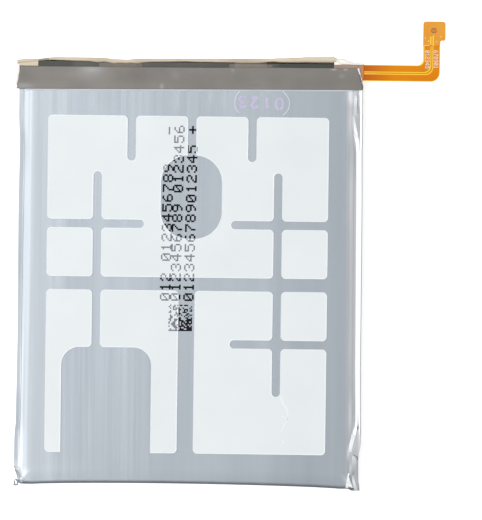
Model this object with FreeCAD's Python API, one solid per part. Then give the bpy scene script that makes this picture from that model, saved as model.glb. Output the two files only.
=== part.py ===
import FreeCAD, Part
import math
import os

# A lithium-ion pouch battery for a mobile phone, in millimetres. The cell lies on its flat back at
# z = 0 with its adhesive side up. X runs across the cell, the sealed end with the protection board
# is at +Y, and the origin is the centre of the back.

Vector = FreeCAD.Vector

# Cell pouch
cell_width = 63.1            # over the two folded side seams
cell_length = 76.0           # from the bottom fold to the end of the top seam
cell_thickness = 5.2
face_edge_radius = 1.4       # round edge where the deep-drawn cup meets its face
back_edge_radius = 0.3
cup_corner_radius = 2.0      # in plan
bottom_bow = 0.5             # the bottom fold bows in by this at mid-width
left_seam_room = 0.75        # from the cup's left wall to the outside of its folded seam
right_seam_room = 1.35
top_seam_width = 2.0         # flat terrace that the tabs pass through
top_seam_lift = 0.35         # underside of the terrace above the back
top_seam_inset = 0.9         # the terrace is trimmed this far inside the cell's sides
top_seam_corner = 0.5
seam_thickness = 0.3         # two layers of aluminium laminate
seam_foot_lift = 0.06        # folded side seam above the back
seam_bite = 0.3              # the seam's foot runs this far into the body
left_seam_gap = 0.1          # between the cup's wall and the seam that stands beside it
right_seam_gap = 0.15
# Creases of the side seams, those at the bottom fold and those at the cup's end wall: place up from the
# fold or from the end wall, height of the knee, lean of the tip as a share of the room beside the cup,
# height of the tip
right_seam_low_creases = (
    (-1.1, 0.5, 0.8, 1.2),
    (-0.6, 2.2, 0.95, 3.3),
    (1.6, 3.5, 0.72, 4.2),
    (6.4, 3.3, 1.0, 3.9),
    (9.0, 3.6, 0.8, 4.4),
    (27.0, 3.4, 0.98, 4.1),
)
right_seam_high_creases = (
    (-26.0, 3.4, 0.94, 4.2),
    (-10.5, 3.3, 1.0, 4.0),
    (-6.5, 3.7, 0.78, 4.5),
    (-0.2, 3.4, 0.95, 4.1),
)
left_seam_low_creases = (
    (-0.95, 0.4, 1.0, 1.1),
    (-0.5, 1.6, 0.9, 3.0),
    (2.5, 2.4, 1.0, 3.3),
    (38.0, 2.3, 0.94, 3.5),
)
left_seam_high_creases = (
    (-12.0, 2.4, 1.0, 3.3),
    (-0.2, 2.4, 0.96, 3.4),
)

# Tabs and their sealing film
tab_width = 6.0
tab_thickness = 0.1
tab_bend_radius = 0.3        # inside of the bend
tab_seal_width = 8.0
tab_seal_thickness = 0.2
tab_seal_depth = 1.5         # film held inside the terrace
tab_seal_reach = 0.5         # film that shows past the terrace
tab_weld_length = 2.3        # tab laid on the weld plate
negative_tab_x = -13.05
positive_tab_x = 10.85

# Protection board
board_length = 58.6
board_centre_x = -0.6
board_thickness = 0.6
board_corner_radius = 0.3
board_outer_edge = 1.2       # edge of the board past the end of the top seam
board_cup_gap = 0.25         # between the board and the cup's end wall
board_under_face = 0.75      # top of the board below the cell's face
weld_plate_length = 8.0
weld_plate_width = 2.5
weld_plate_thickness = 0.15
weld_plate_radius = 0.2
edge_gap = 0.05              # between the board's edge and a tab that wraps round it

# Parts on the underside of the board: length, width, height
switch_size = (3.6, 2.2, 0.85)
protection_chip_size = (2.4, 2.0, 0.75)
identity_chip_size = (2.0, 1.6, 0.6)
sense_resistor_size = (3.2, 1.6, 0.6)
thermistor_size = (1.6, 0.8, 0.6)
chip_resistor_size = (1.0, 0.5, 0.35)
chip_capacitor_size = (1.0, 0.5, 0.5)
switch_x = (-3.4, 1.6)
protection_chip_x = 6.2
identity_chip_x = -8.2
sense_resistor_margin = 12.3     # from the board's right end
resistor_margin = 9.1
resistor_count = 4
capacitor_reach = 10.5       # the row starts this far left of the identity chip
thermistor_reach = 12.3
capacitor_count = 6
passive_pitch = 1.5
chip_standoff = 0.08
chip_chamfer = 0.08
lead_width = 0.3
lead_reach = 0.2             # of a lead's foot, on each side of the package's edge
lead_thickness = 0.12
lead_pitch_share = 0.32      # spacing of the leads, as a share of the package's length
terminal_share = 0.22        # metal end caps of a chip part, as a share of its length
terminal_thickness = 0.03
foam_length = 50.0
foam_corner_radius = 0.2
foam_compression_gap = 0.1   # between the foam and the tallest part above it

# Flexible printed tail and its connector
tail_overlap = 2.05          # tail soldered on the end of the board
tail_reach = 14.0            # outside of the leg past the cell's side
leg_width = 3.15
leg_rise = 8.08              # end of the leg past the tail's outer edge
film_thickness = 0.15
outer_corner_radius = 1.6
inner_corner_radius = 1.1
pad_width = 4.1              # connector end
pad_length = 3.5
pad_corner_radius = 0.5
pad_step_radius = 0.35
track_depth = 0.04
track_margin = 0.12          # bare film beside the outer tracks
power_track_width = 1.12
signal_track_width = 0.2
track_gap = 0.16             # from one track to the next
track_end = 2.73             # tracks stop this far short of the end
stiffener_length = 4.45
stiffener_thickness = 0.15
housing_size = (3.3, 3.2, 0.75)
housing_end_margin = 0.2
housing_corner_radius = 0.35
housing_wall = 0.6
moat_corner_radius = 0.15
housing_floor = 0.25
housing_island_width = 0.6
contact_thickness = 0.1
signal_contact_width = 0.2
signal_contact_pitch = 0.45
signal_contact_rows = 3
power_contact_width = 0.32

# Tapes
face_tape_thickness = 0.08
face_tape_overlap = 0.2      # on the flat of the face, before it rounds down
face_tape_end = 0.4          # outer edge of the tape past the end of the top seam
face_tape_left = 0.6         # the tape stands this far past the cell's left side
face_tape_right = 0.15       # the tape stops this far short of the cell's right side
face_tape_slant = 0.4        # its ends narrow by this towards the outer edge
face_tape_corner = 0.3
face_tape_landing = 0.35     # the tape comes down on the board's stack this far past its inner edge
face_tape_landing_radius = 1.0
back_tape_thickness = 0.1
back_tape_gap = 0.1          # between the cup's end wall and the tape under the terrace
back_tape_lip_length = 3.8   # folded in over the left corner
back_tape_cover_length = 4.7     # folded in over the tail
back_tape_lip_width = 1.2
back_tape_edge = 0.02        # the tape's ends stay this far inside the cell's sides
# Where the standing edge of the tape touches the pack and how far it bows out between those points,
# from the left side to the right
back_tape_touch_x = (-11.0, 8.3)
back_tape_touch = (0.0, 0.32, 0.5, 0.4)
back_tape_bow = (0.72, 0.7, 1.25)

# Die-cut adhesive sheets
sheet_thickness = 0.12
sheet_corner_radius = 0.8
field_left_margin = 5.35
field_right_margin = 6.2
field_top_margin = 8.7       # from the end of the top seam
field_bottom_margin = 5.4
band_rise = 0.14             # middle of the band between the sheets, above the field's middle
band_gap = 2.38              # between the upper and the lower sheets
left_group_width = 24.3
centre_gap = 2.95            # between the two lower groups
slot_width = 1.5
slot_end_share = 0.999       # of the half width, so that an end's two corner arcs never overlap
cut_past = 5.0               # outlines that cut the sheets run this far past them
cross_inset = 9.2            # crossed slots from the field's sides
cross_reach = 17.75          # of the level slots
cross_arm = 9.55             # of the upright slots, past the level ones
square_height = 9.0          # sheets that the crossed slots part off beside the band
top_slot_left = 15.35
top_slot_right = 14.05
top_slot_depth = 8.25
window_x = 26.43             # window over the print, from the field's left side
window_width = 11.18
window_top = 7.2
window_foot = 7.14           # above the band
window_radius = 5.0
window_least_radius_share = 0.45     # of its height, where the window is low
arch_left = 2.95
arch_right = 4.88
arch_height = 19.33
arch_radius = 3.3

# Levels and edges that follow from the sizes above
half_width = cell_width / 2.0
bottom_edge = -cell_length / 2.0
seam_end = cell_length / 2.0
cup_top = seam_end - top_seam_width
cup_left = -half_width + left_seam_room
cup_right = half_width - right_seam_room
tab_level = top_seam_lift + (seam_thickness - tab_thickness) / 2.0
board_top = cell_thickness - board_under_face
board_bottom = board_top - board_thickness
board_low = cup_top + board_cup_gap
board_high = seam_end + board_outer_edge
board_mid = (board_low + board_high) / 2.0
board_left = board_centre_x - board_length / 2.0
board_right = board_centre_x + board_length / 2.0
tab_top_level = board_top + weld_plate_thickness
stack_top = tab_top_level + tab_thickness
tail_width = 2.0 * (track_margin + power_track_width + track_gap) + signal_track_width
tail_outer = board_high
tail_inner = board_high - tail_width
tail_start = board_right - tail_overlap
leg_right = half_width + tail_reach
leg_left = leg_right - leg_width
leg_end = tail_outer + leg_rise
pad_right = leg_left + pad_width
film_top = board_top + film_thickness
field_left = -half_width + field_left_margin
field_right = half_width - field_right_margin
field_top = seam_end - field_top_margin
field_bottom = bottom_edge + field_bottom_margin
band_middle = (field_top + field_bottom) / 2.0 + band_rise
lower_top = band_middle - band_gap / 2.0
upper_bottom = band_middle + band_gap / 2.0


def rounded_wire(corners, place=None):
    """A closed wire through (across, up, radius) corners, each rounded by an arc."""
    if place is None:
        place = in_plan
    turns = []
    for i, (a, b, radius) in enumerate(corners):
        here = Vector(a, b, 0)
        if radius <= 0:
            turns.append((here, None, here))
            continue
        before = Vector(*corners[i - 1][:2], 0) - here
        after = Vector(*corners[(i + 1) % len(corners)][:2], 0) - here
        before.normalize()
        after.normalize()
        half_angle = before.getAngle(after) / 2.0
        reach = radius / math.tan(half_angle)
        middle = before + after
        middle.normalize()
        crown = here + middle * (radius / math.sin(half_angle) - radius)
        turns.append((here + before * reach, crown, here + after * reach))
    edges = []
    for i, (enter, crown, leave) in enumerate(turns):
        if crown is not None:
            edges.append(Part.Arc(place(enter), place(crown), place(leave)).toShape())
        following = turns[(i + 1) % len(turns)][0]
        if (following - leave).Length > 1e-6:
            edges.append(Part.LineSegment(place(leave), place(following)).toShape())
    return Part.Wire(edges)


def in_plan(point):
    return point


def in_side(point):
    return Vector(0, point.x, point.y)


def plate(corners, bottom, thickness):
    face = Part.Face(rounded_wire(corners))
    solid = face.extrude(Vector(0, 0, thickness))
    solid.translate(Vector(0, 0, bottom))
    return solid


def box(x_low, x_high, y_low, y_high, z_low, z_high):
    corner = Vector(x_low, y_low, z_low)
    return Part.makeBox(x_high - x_low, y_high - y_low, z_high - z_low, corner)


def rectangle(x_low, x_high, y_low, y_high, radius=0.0):
    across = (x_low, x_high, x_high, x_low)
    up = (y_low, y_low, y_high, y_high)
    return [(x, y, radius) for x, y in zip(across, up)]


def ribbon(path, thickness):
    """Closed corners of a strip whose thickness lies to the left of its path."""
    points = [Vector(a, b, 0) for a, b, radius in path]
    ways = []
    for start, end in zip(points, points[1:]):
        way = end - start
        way.normalize()
        ways.append(way)
    far_side = []
    for i, (a, b, radius) in enumerate(path):
        before = ways[max(i - 1, 0)]
        after = ways[min(i, len(ways) - 1)]
        left_before = Vector(-before.y, before.x, 0)
        left_after = Vector(-after.y, after.x, 0)
        shift = (left_before + left_after) * (thickness / (1.0 + left_before.dot(left_after)))
        turns_left = before.cross(after).z > 0
        far_radius = radius - thickness if turns_left else radius + thickness
        corner = points[i] + shift
        far_side.append((corner.x, corner.y, far_radius if radius else 0))
    return list(path) + far_side[::-1]


def strip(path, thickness, x_low, x_high):
    """A strip of film or metal bent along a path in the side view, thickness to the path's left."""
    face = Part.Face(rounded_wire(ribbon(path, thickness), place=in_side))
    solid = face.extrude(Vector(x_high - x_low, 0, 0))
    solid.translate(Vector(x_low, 0, 0))
    return solid


def slot(x_from, y_from, x_to, y_to, width, bottom, thickness):
    """An upright or level slot with round ends, given by the middles of its ends' edges."""
    half = width / 2.0
    if abs(x_to - x_from) > abs(y_to - y_from):
        x = sorted((x_from, x_to))
        outline = rectangle(x[0], x[1], y_from - half, y_from + half, half * slot_end_share)
    else:
        y = sorted((y_from, y_to))
        outline = rectangle(x_from - half, x_from + half, y[0], y[1], half * slot_end_share)
    return plate(outline, bottom, thickness)


def round_upright_corners(solid, radius, wanted):
    """Rounds the upright edges between two flat sides where wanted(x, y) holds."""
    chosen = []
    for edge in solid.Edges:
        low = edge.BoundBox
        upright = low.ZLength > 1e-6 and low.XLength < 1e-6 and low.YLength < 1e-6
        if not upright:
            continue
        sides = solid.ancestorsOfType(edge, Part.Face)
        flat = all(isinstance(side.Surface, Part.Plane) for side in sides)
        if flat and wanted(low.XMin, low.YMin):
            chosen.append(edge)
    return solid.makeFillet(radius, chosen)


def cup():
    """The deep-drawn body: straight sides, and a bottom fold that bows in at mid-width."""
    r = cup_corner_radius
    low = bottom_edge - bottom_bow
    high = cup_top
    turn = r * (1.0 - math.sqrt(0.5))
    arcs = []
    for cx, cy, sx, sy in (
        (cup_right, low, -1, 1),
        (cup_right, high, -1, -1),
        (cup_left, high, 1, -1),
        (cup_left, low, 1, 1),
    ):
        on_side = Vector(cx, cy + sy * r, 0)
        on_end = Vector(cx + sx * r, cy, 0)
        crown = Vector(cx + sx * turn, cy + sy * turn, 0)
        order = (on_end, crown, on_side) if sx * sy < 0 else (on_side, crown, on_end)
        arcs.append(order)
    fold_middle = Vector((cup_left + cup_right) / 2.0, bottom_edge, 0)
    edges = [Part.Arc(arcs[3][2], fold_middle, arcs[0][0]).toShape()]
    for i, arc in enumerate(arcs):
        edges.append(Part.Arc(*arc).toShape())
        if i < 3:
            edges.append(Part.LineSegment(arc[2], arcs[i + 1][0]).toShape())
    body = Part.Face(Part.Wire(edges)).extrude(Vector(0, 0, cell_thickness))
    face_edges = [e for e in body.Edges if e.BoundBox.ZMin > cell_thickness - 1e-6]
    body = body.makeFillet(face_edge_radius, face_edges)
    back_edges = [e for e in body.Edges if e.BoundBox.ZMax < 1e-6]
    return body.makeFillet(back_edge_radius, back_edges)


def side_seam(wall, side, room, gap, low_creases, high_creases):
    """A side seam folded up beside the cup and flared out at its tip, ruled between its creases."""
    stations = [(bottom_edge + crease[0],) + crease[1:] for crease in low_creases]
    stations += [(cup_top + crease[0],) + crease[1:] for crease in high_creases]
    foot = gap + seam_thickness
    sections = []
    for y, knee, lean, tip in sorted(stations):
        path = [
            (-seam_bite, seam_foot_lift, 0),
            (foot, seam_foot_lift, 0),
            (foot, seam_foot_lift + knee, 0),
            (room * lean, seam_foot_lift + tip, 0),
        ]
        outline = [Vector(wall + side * out, y, up) for out, up, radius in ribbon(path, seam_thickness)]
        sections.append(Part.makePolygon(outline + outline[:1]))
    return Part.makeLoft(sections, True, True)


def cell_pouch():
    left = side_seam(
        cup_left, -1, left_seam_room, left_seam_gap, left_seam_low_creases, left_seam_high_creases
    )
    right = side_seam(
        cup_right, 1, right_seam_room, right_seam_gap, right_seam_low_creases, right_seam_high_creases
    )
    terrace = plate(
        [
            (-half_width + top_seam_inset, cup_top - cup_corner_radius, 0),
            (half_width - top_seam_inset, cup_top - cup_corner_radius, 0),
            (half_width - top_seam_inset, seam_end, top_seam_corner),
            (-half_width + top_seam_inset, seam_end, top_seam_corner),
        ],
        top_seam_lift,
        seam_thickness,
    )
    body = cup().fuse([terrace, left, right]).removeSplitter()
    for tab_x in (negative_tab_x, positive_tab_x):
        body = body.cut(tab_seal_block(tab_x))
    return body


def tab_seal_block(tab_x):
    low = top_seam_lift + (seam_thickness - tab_seal_thickness) / 2.0
    return box(
        tab_x - tab_seal_width / 2.0,
        tab_x + tab_seal_width / 2.0,
        seam_end - tab_seal_depth,
        seam_end + tab_seal_reach,
        low,
        low + tab_seal_thickness,
    )


def cell_tab(tab_x):
    """From inside the seal out of the terrace, up round the board's edge and back over its plate."""
    outer = board_high + edge_gap + tab_thickness
    radius = tab_bend_radius + tab_thickness
    path = [
        (seam_end - tab_seal_depth, tab_level, 0),
        (outer, tab_level, radius),
        (outer, stack_top, radius),
        (board_high - tab_weld_length, stack_top, 0),
    ]
    return strip(path, tab_thickness, tab_x - tab_width / 2.0, tab_x + tab_width / 2.0)


def tab_seal(tab_x):
    return tab_seal_block(tab_x).cut(cell_tab(tab_x))


def protection_board():
    outline = rectangle(board_left, board_right, board_low, board_high, board_corner_radius)
    return plate(outline, board_bottom, board_thickness)


def weld_plate(tab_x):
    high = board_high - (board_high - board_low - weld_plate_width) / 2.0
    outline = rectangle(
        tab_x - weld_plate_length / 2.0,
        tab_x + weld_plate_length / 2.0,
        high - weld_plate_width,
        high,
        weld_plate_radius,
    )
    return plate(outline, board_top, weld_plate_thickness)


def moulded_chip(centre_x, size):
    """A moulded package under the board, with its leads' ends as small feet at the board."""
    length, width, height = size
    body = box(
        centre_x - length / 2.0,
        centre_x + length / 2.0,
        board_mid - width / 2.0,
        board_mid + width / 2.0,
        board_bottom - height,
        board_bottom - chip_standoff,
    )
    lower_edges = [e for e in body.Edges if e.BoundBox.ZMax < board_bottom - height + 1e-6]
    body = body.makeChamfer(chip_chamfer, lower_edges)
    feet = []
    for side in (-1, 1):
        for step in (-1, 0, 1):
            x = centre_x + step * length * lead_pitch_share
            edge = board_mid + side * width / 2.0
            feet.append(
                box(
                    x - lead_width / 2.0,
                    x + lead_width / 2.0,
                    edge - lead_reach,
                    edge + lead_reach,
                    board_bottom - lead_thickness,
                    board_bottom,
                )
            )
    return body.fuse(feet)


def chip_part(centre_x, size):
    """A ceramic chip part under the board, thicker at its two metal end caps."""
    length, width, height = size
    cap = length * terminal_share
    skin = terminal_thickness
    body = box(
        centre_x - length / 2.0,
        centre_x + length / 2.0,
        board_mid - width / 2.0 + skin,
        board_mid + width / 2.0 - skin,
        board_bottom - height + skin,
        board_bottom - skin,
    )
    caps = []
    for start in (centre_x - length / 2.0, centre_x + length / 2.0 - cap):
        caps.append(
            box(
                start,
                start + cap,
                board_mid - width / 2.0,
                board_mid + width / 2.0,
                board_bottom - height,
                board_bottom,
            )
        )
    return body.fuse(caps)


def chip_row(start_x, count, size):
    return Part.makeCompound([chip_part(start_x + i * passive_pitch, size) for i in range(count)])


def board_foam():
    """Foam strip on the terrace that backs the parts under the board."""
    low = top_seam_lift + seam_thickness
    high = board_bottom - switch_size[2] - foam_compression_gap
    left = board_centre_x - foam_length / 2.0
    outline = rectangle(left, left + foam_length, board_low, seam_end, foam_corner_radius)
    return plate(outline, low, high - low)


def turn_radius(distance):
    """Radius of the tail's turn, which narrows evenly from its outer side to its inner side."""
    share = distance / tail_width
    return outer_corner_radius + (inner_corner_radius - outer_corner_radius) * share


def tail_band(near, far, end):
    """Outline between two distances from the tail's outer side: along the board, up the leg."""
    return [
        (tail_start, tail_inner + near, 0),
        (leg_right - near, tail_inner + near, turn_radius(near)),
        (leg_right - near, end, 0),
        (leg_right - far, end, 0),
        (leg_right - far, tail_inner + far, turn_radius(far)),
        (tail_start, tail_inner + far, 0),
    ]


def track_edges():
    """Distances of each copper track's two sides from the tail's outer side."""
    near = track_margin
    edges = {}
    for name, width in (
        ("negative_track", power_track_width),
        ("signal_track", signal_track_width),
        ("positive_track", power_track_width),
    ):
        edges[name] = (near, near + width)
        near = near + width + track_gap
    return edges


def copper_track(name):
    near, far = track_edges()[name]
    outline = tail_band(near, far, leg_end - track_end)
    return plate(outline, film_top - track_depth, track_depth)


def flex_tail():
    step = leg_end - pad_length
    outline = [
        (tail_start, tail_inner, 0),
        (leg_right, tail_inner, outer_corner_radius),
        (leg_right, step, pad_step_radius),
        (pad_right, step, pad_step_radius),
        (pad_right, leg_end, pad_corner_radius),
        (leg_left, leg_end, pad_corner_radius),
        (leg_left, tail_outer, inner_corner_radius),
        (tail_start, tail_outer, 0),
    ]
    film = plate(outline, board_top, film_thickness)
    for name in track_edges():
        film = film.cut(copper_track(name))
    return film


def connector_stiffener():
    low = leg_end - stiffener_length
    step = leg_end - pad_length
    outline = [
        (leg_left, low, 0),
        (leg_right, low, 0),
        (leg_right, step, pad_step_radius),
        (pad_right, step, pad_step_radius),
        (pad_right, leg_end, pad_corner_radius),
        (leg_left, leg_end, pad_corner_radius),
    ]
    return plate(outline, film_top, stiffener_thickness)


def housing_centre():
    return (leg_left + pad_right) / 2.0, leg_end - housing_end_margin - housing_size[1] / 2.0


def connector_housing():
    """Plug under the tail's end: a wall round a moat, with an island for the mating contacts."""
    length, width, height = housing_size
    cx, cy = housing_centre()
    outline = rectangle(
        cx - length / 2.0, cx + length / 2.0, cy - width / 2.0, cy + width / 2.0, housing_corner_radius
    )
    body = plate(outline, board_top - height, height)
    half_x = length / 2.0 - housing_wall
    half_y = width / 2.0 - housing_wall
    moat = plate(
        rectangle(cx - half_x, cx + half_x, cy - half_y, cy + half_y, moat_corner_radius),
        board_top - height,
        height - housing_floor,
    )
    island = box(
        cx - housing_island_width / 2.0,
        cx + housing_island_width / 2.0,
        cy - half_y + housing_island_width / 2.0,
        cy + half_y - housing_island_width / 2.0,
        board_top - height,
        board_top - housing_floor,
    )
    body = body.cut(moat).fuse(island)
    for seat in signal_contacts() + power_contacts():
        body = body.cut(seat)
    return body


def wall_clip(side, y_low, y_high):
    """A contact strip that clips over the housing's side wall: out, under and up inside."""
    cx = housing_centre()[0]
    t = contact_thickness
    low = board_top - housing_size[2]
    outer = housing_size[0] / 2.0
    inner = outer - housing_wall

    def part(near, far, bottom, top):
        x = sorted((cx + side * near, cx + side * far))
        return box(x[0], x[1], y_low, y_high, bottom, top)

    outside = part(outer - t, outer, low, board_top)
    under = part(inner - t, outer, low, low + t)
    inside = part(inner - t, inner, low, board_top - housing_floor)
    return outside.fuse([under, inside]).removeSplitter()


def signal_contacts():
    cy = housing_centre()[1]
    half = signal_contact_width / 2.0
    clips = []
    for side in (-1, 1):
        for step in range(signal_contact_rows):
            middle = cy + (step - (signal_contact_rows - 1) / 2.0) * signal_contact_pitch
            clips.append(wall_clip(side, middle - half, middle + half))
    return clips


def power_contacts():
    """Wider contacts near the two ends, one pair for each pole."""
    cy = housing_centre()[1]
    reach = housing_size[1] / 2.0 - housing_wall
    clips = []
    for side in (-1, 1):
        for end in (-1, 1):
            y = sorted((cy + end * reach, cy + end * (reach - power_contact_width)))
            clips.append(wall_clip(side, y[0], y[1]))
    return clips


def face_tape():
    """From the face down over the cup's rounded edge and flat over the board's stack."""
    r = face_edge_radius
    centre_y = cup_top - r
    centre_z = cell_thickness - r
    land_y = board_low + face_tape_landing
    reach = math.hypot(land_y - centre_y, stack_top - centre_z)
    swing = math.acos(r / reach)
    bearing = math.atan2(stack_top - centre_z, land_y - centre_y)
    slope = math.pi / 2.0 - bearing - swing
    start = centre_y - face_tape_overlap
    end = seam_end + face_tape_end
    path = [
        (start, cell_thickness, 0),
        (centre_y + r * math.tan(slope / 2.0), cell_thickness, r),
        (land_y, stack_top, face_tape_landing_radius),
        (end, stack_top, 0),
    ]
    left = -half_width - face_tape_left
    right = half_width - face_tape_right
    band = strip(path, face_tape_thickness, left, right)
    outline = [
        (left + face_tape_corner, start, 0),
        (left, start + face_tape_corner, 0),
        (left + face_tape_slant, end, 0),
        (right - 2 * face_tape_slant, end, 0),
        (right, start + face_tape_corner, 0),
        (right - face_tape_corner, start, 0),
    ]
    return band.common(plate(outline, 0.0, 2 * cell_thickness))


def standing_edge(level, bowed):
    """Outline of the back tape's standing wall at one height: bowed between the points it touches."""
    left = -half_width + back_tape_edge
    right = half_width - back_tape_edge
    base = board_high + edge_gap + tab_thickness
    across = (left,) + back_tape_touch_x + (right,)
    inner = []
    outer = []
    for i in range(3):
        middle = (across[i] + across[i + 1]) / 2.0
        rise = [back_tape_touch[i], back_tape_bow[i], back_tape_touch[i + 1]]
        rise = [value * bowed for value in rise]
        points = [
            Vector(across[i], base + rise[0], level),
            Vector(middle, base + rise[1], level),
            Vector(across[i + 1], base + rise[2], level),
        ]
        inner.append(points)
        outer.append([p + Vector(0, back_tape_thickness, 0) for p in points])
    edges = []
    for points in inner:
        edges.append(bowed_edge(points))
    edges.append(Part.LineSegment(inner[-1][2], outer[-1][2]).toShape())
    for points in reversed(outer):
        edges.append(bowed_edge(points[::-1]))
    edges.append(Part.LineSegment(outer[0][0], inner[0][0]).toShape())
    return Part.Wire(edges)


def bowed_edge(points):
    start, middle, end = points
    chord = (start + end) * 0.5
    if (middle - chord).Length < 1e-4:
        return Part.LineSegment(start, end).toShape()
    return Part.Arc(start, middle, end).toShape()


def back_wrap_tape():
    """From under the terrace up round the board, with its ends folded in over the two corners."""
    t = back_tape_thickness
    bottom = top_seam_lift - t
    top = stack_top + t
    left = -half_width + back_tape_edge
    right = half_width - back_tape_edge
    base = board_high + edge_gap + tab_thickness
    foot = box(left, right, cup_top + back_tape_gap, base + t, bottom, top_seam_lift)
    wall = Part.makeLoft([standing_edge(bottom, 0.0), standing_edge(top, 1.0)], True, True)
    lip_low = base + t - back_tape_lip_width
    lip = box(left, left + back_tape_lip_length, lip_low, base + t * 0.5, top - t, top)
    cover_high = base + min(back_tape_touch[3], back_tape_bow[2])
    cover = box(right - back_tape_cover_length, right, lip_low, cover_high, top - t, top)
    end_wall = box(left, left + t, cup_top + back_tape_gap, base + t, bottom, top)
    return foot.fuse([wall, lip, cover, end_wall]).removeSplitter()


def adhesive_sheets():
    """The die cut: two blanks with slots that part them into seven sheets."""
    low = cell_thickness
    t = sheet_thickness
    cross_left = field_left + cross_inset
    cross_right = field_right - cross_inset
    level = upper_bottom + square_height + slot_width / 2.0
    upper = plate(rectangle(field_left, field_right, upper_bottom, field_top), low, t)
    past = cut_past
    slot_left = field_left + top_slot_left
    slot_right = field_right - top_slot_right
    slot_foot = field_top - top_slot_depth
    window_middle = field_left + window_x
    window_high = field_top - window_top
    window_low = upper_bottom + window_foot
    cuts = [
        slot(slot_left, slot_foot, slot_left, field_top + past, slot_width, low, t),
        slot(slot_right, slot_foot, slot_right, field_top + past, slot_width, low, t),
        slot(window_middle, window_high - slot_width, window_middle, field_top + past, slot_width, low, t),
        slot(cross_left, upper_bottom - past, cross_left, level + cross_arm, slot_width, low, t),
        slot(cross_right, upper_bottom - past, cross_right, level + cross_arm, slot_width, low, t),
        slot(field_left - past, level, field_left + cross_reach, level, slot_width, low, t),
        slot(field_right - cross_reach, level, field_right + past, level, slot_width, low, t),
        plate(
            rectangle(
                window_middle - window_width / 2.0,
                window_middle + window_width / 2.0,
                window_low,
                window_high,
                min(window_radius, (window_high - window_low) * window_least_radius_share),
            ),
            low,
            t,
        ),
    ]
    upper = upper.cut(cuts)
    group_right = field_left + left_group_width
    left_group = plate(rectangle(field_left, group_right, field_bottom, lower_top), low, t)
    arch_top = field_bottom + arch_height
    arch_x = (field_left + arch_left, group_right - arch_right)
    arch = plate(rectangle(*arch_x, field_bottom - past, arch_top, arch_radius), low, t)
    parting = slot(cross_left, arch_top - past, cross_left, lower_top + past, slot_width, low, t)
    left_group = left_group.cut([parting, arch])
    right_start = group_right + centre_gap
    right_group = plate(rectangle(right_start, field_right, field_bottom, lower_top), low, t)
    lower_level = lower_top - square_height - slot_width / 2.0
    foot = lower_level - cross_arm
    right_group = right_group.cut(
        [
            slot(cross_right, foot, cross_right, lower_top + past, slot_width, low, t),
            slot(field_right - cross_reach, lower_level, field_right + past, lower_level, slot_width, low, t),
        ]
    )

    def all_corners(x, y):
        return True

    def not_inner_feet(x, y):
        at_foot = abs(y - field_bottom) < 1e-4
        at_leg = field_left + 1e-4 < x < group_right - 1e-4
        return not (at_foot and at_leg)

    pieces = []
    for group, wanted in ((upper, all_corners), (left_group, not_inner_feet), (right_group, all_corners)):
        for solid in group.Solids:
            pieces.append(round_upright_corners(solid, sheet_corner_radius, wanted))
    inset = 2 * sheet_corner_radius
    probes = {
        "adhesive_upper": (field_left + inset, field_top - inset),
        "adhesive_upper_left_square": (field_left + inset, upper_bottom + inset),
        "adhesive_upper_right_square": (field_right - inset, upper_bottom + inset),
        "adhesive_lower_left": (field_left + inset, lower_top - inset),
        "adhesive_lower_middle": (group_right - inset, lower_top - inset),
        "adhesive_lower_right": (right_start + inset, lower_top - inset),
        "adhesive_lower_right_square": (field_right - inset, lower_top - inset),
    }
    named = {}
    for name, (x, y) in probes.items():
        probe = Vector(x, y, low + t / 2.0)
        named[name] = [piece for piece in pieces if piece.isInside(probe, 1e-4, True)][0]
    return named


def build_parts():
    parts = {
        "cell_pouch": cell_pouch(),
        "negative_tab": cell_tab(negative_tab_x),
        "positive_tab": cell_tab(positive_tab_x),
        "negative_tab_seal": tab_seal(negative_tab_x),
        "positive_tab_seal": tab_seal(positive_tab_x),
        "protection_board": protection_board(),
        "negative_weld_plate": weld_plate(negative_tab_x),
        "positive_weld_plate": weld_plate(positive_tab_x),
        "charge_switch": moulded_chip(switch_x[0], switch_size),
        "discharge_switch": moulded_chip(switch_x[1], switch_size),
        "protection_chip": moulded_chip(protection_chip_x, protection_chip_size),
        "identity_chip": moulded_chip(identity_chip_x, identity_chip_size),
        "sense_resistor": chip_part(board_right - sense_resistor_margin, sense_resistor_size),
        "thermistor": chip_part(identity_chip_x - thermistor_reach, thermistor_size),
        "chip_resistors": chip_row(board_right - resistor_margin, resistor_count, chip_resistor_size),
        "chip_capacitors": chip_row(identity_chip_x - capacitor_reach, capacitor_count, chip_capacitor_size),
        "board_foam": board_foam(),
        "flex_tail": flex_tail(),
        "connector_stiffener": connector_stiffener(),
        "connector_housing": connector_housing(),
        "signal_contacts": Part.makeCompound(signal_contacts()),
        "power_contacts": Part.makeCompound(power_contacts()),
        "face_tape": face_tape(),
        "back_wrap_tape": back_wrap_tape(),
    }
    for name in track_edges():
        parts[name] = copper_track(name)
    parts.update(adhesive_sheets())
    return parts


os.makedirs("parts", exist_ok=True)
for name, shape in build_parts().items():
    shape.exportStep("parts/" + name + ".step")
    print(name, len(shape.Solids), round(shape.Volume, 3), shape.isValid())
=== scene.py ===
import math

import bmesh
import bpy
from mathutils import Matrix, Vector, noise
from mathutils.bvhtree import BVHTree


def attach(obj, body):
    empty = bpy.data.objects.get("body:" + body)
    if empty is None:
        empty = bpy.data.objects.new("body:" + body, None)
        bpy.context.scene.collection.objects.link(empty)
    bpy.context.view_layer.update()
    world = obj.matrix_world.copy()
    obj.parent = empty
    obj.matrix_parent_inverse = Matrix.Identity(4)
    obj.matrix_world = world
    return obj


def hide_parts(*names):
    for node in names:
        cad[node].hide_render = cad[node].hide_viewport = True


# The looks of a mobile phone's pouch battery. Sizes are in millimetres in the frame of the CAD
# part: the flat back at z = 0, the adhesive side up, the board at +Y. Readings from the photo are
# given as pixels and go through from_photo().

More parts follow.
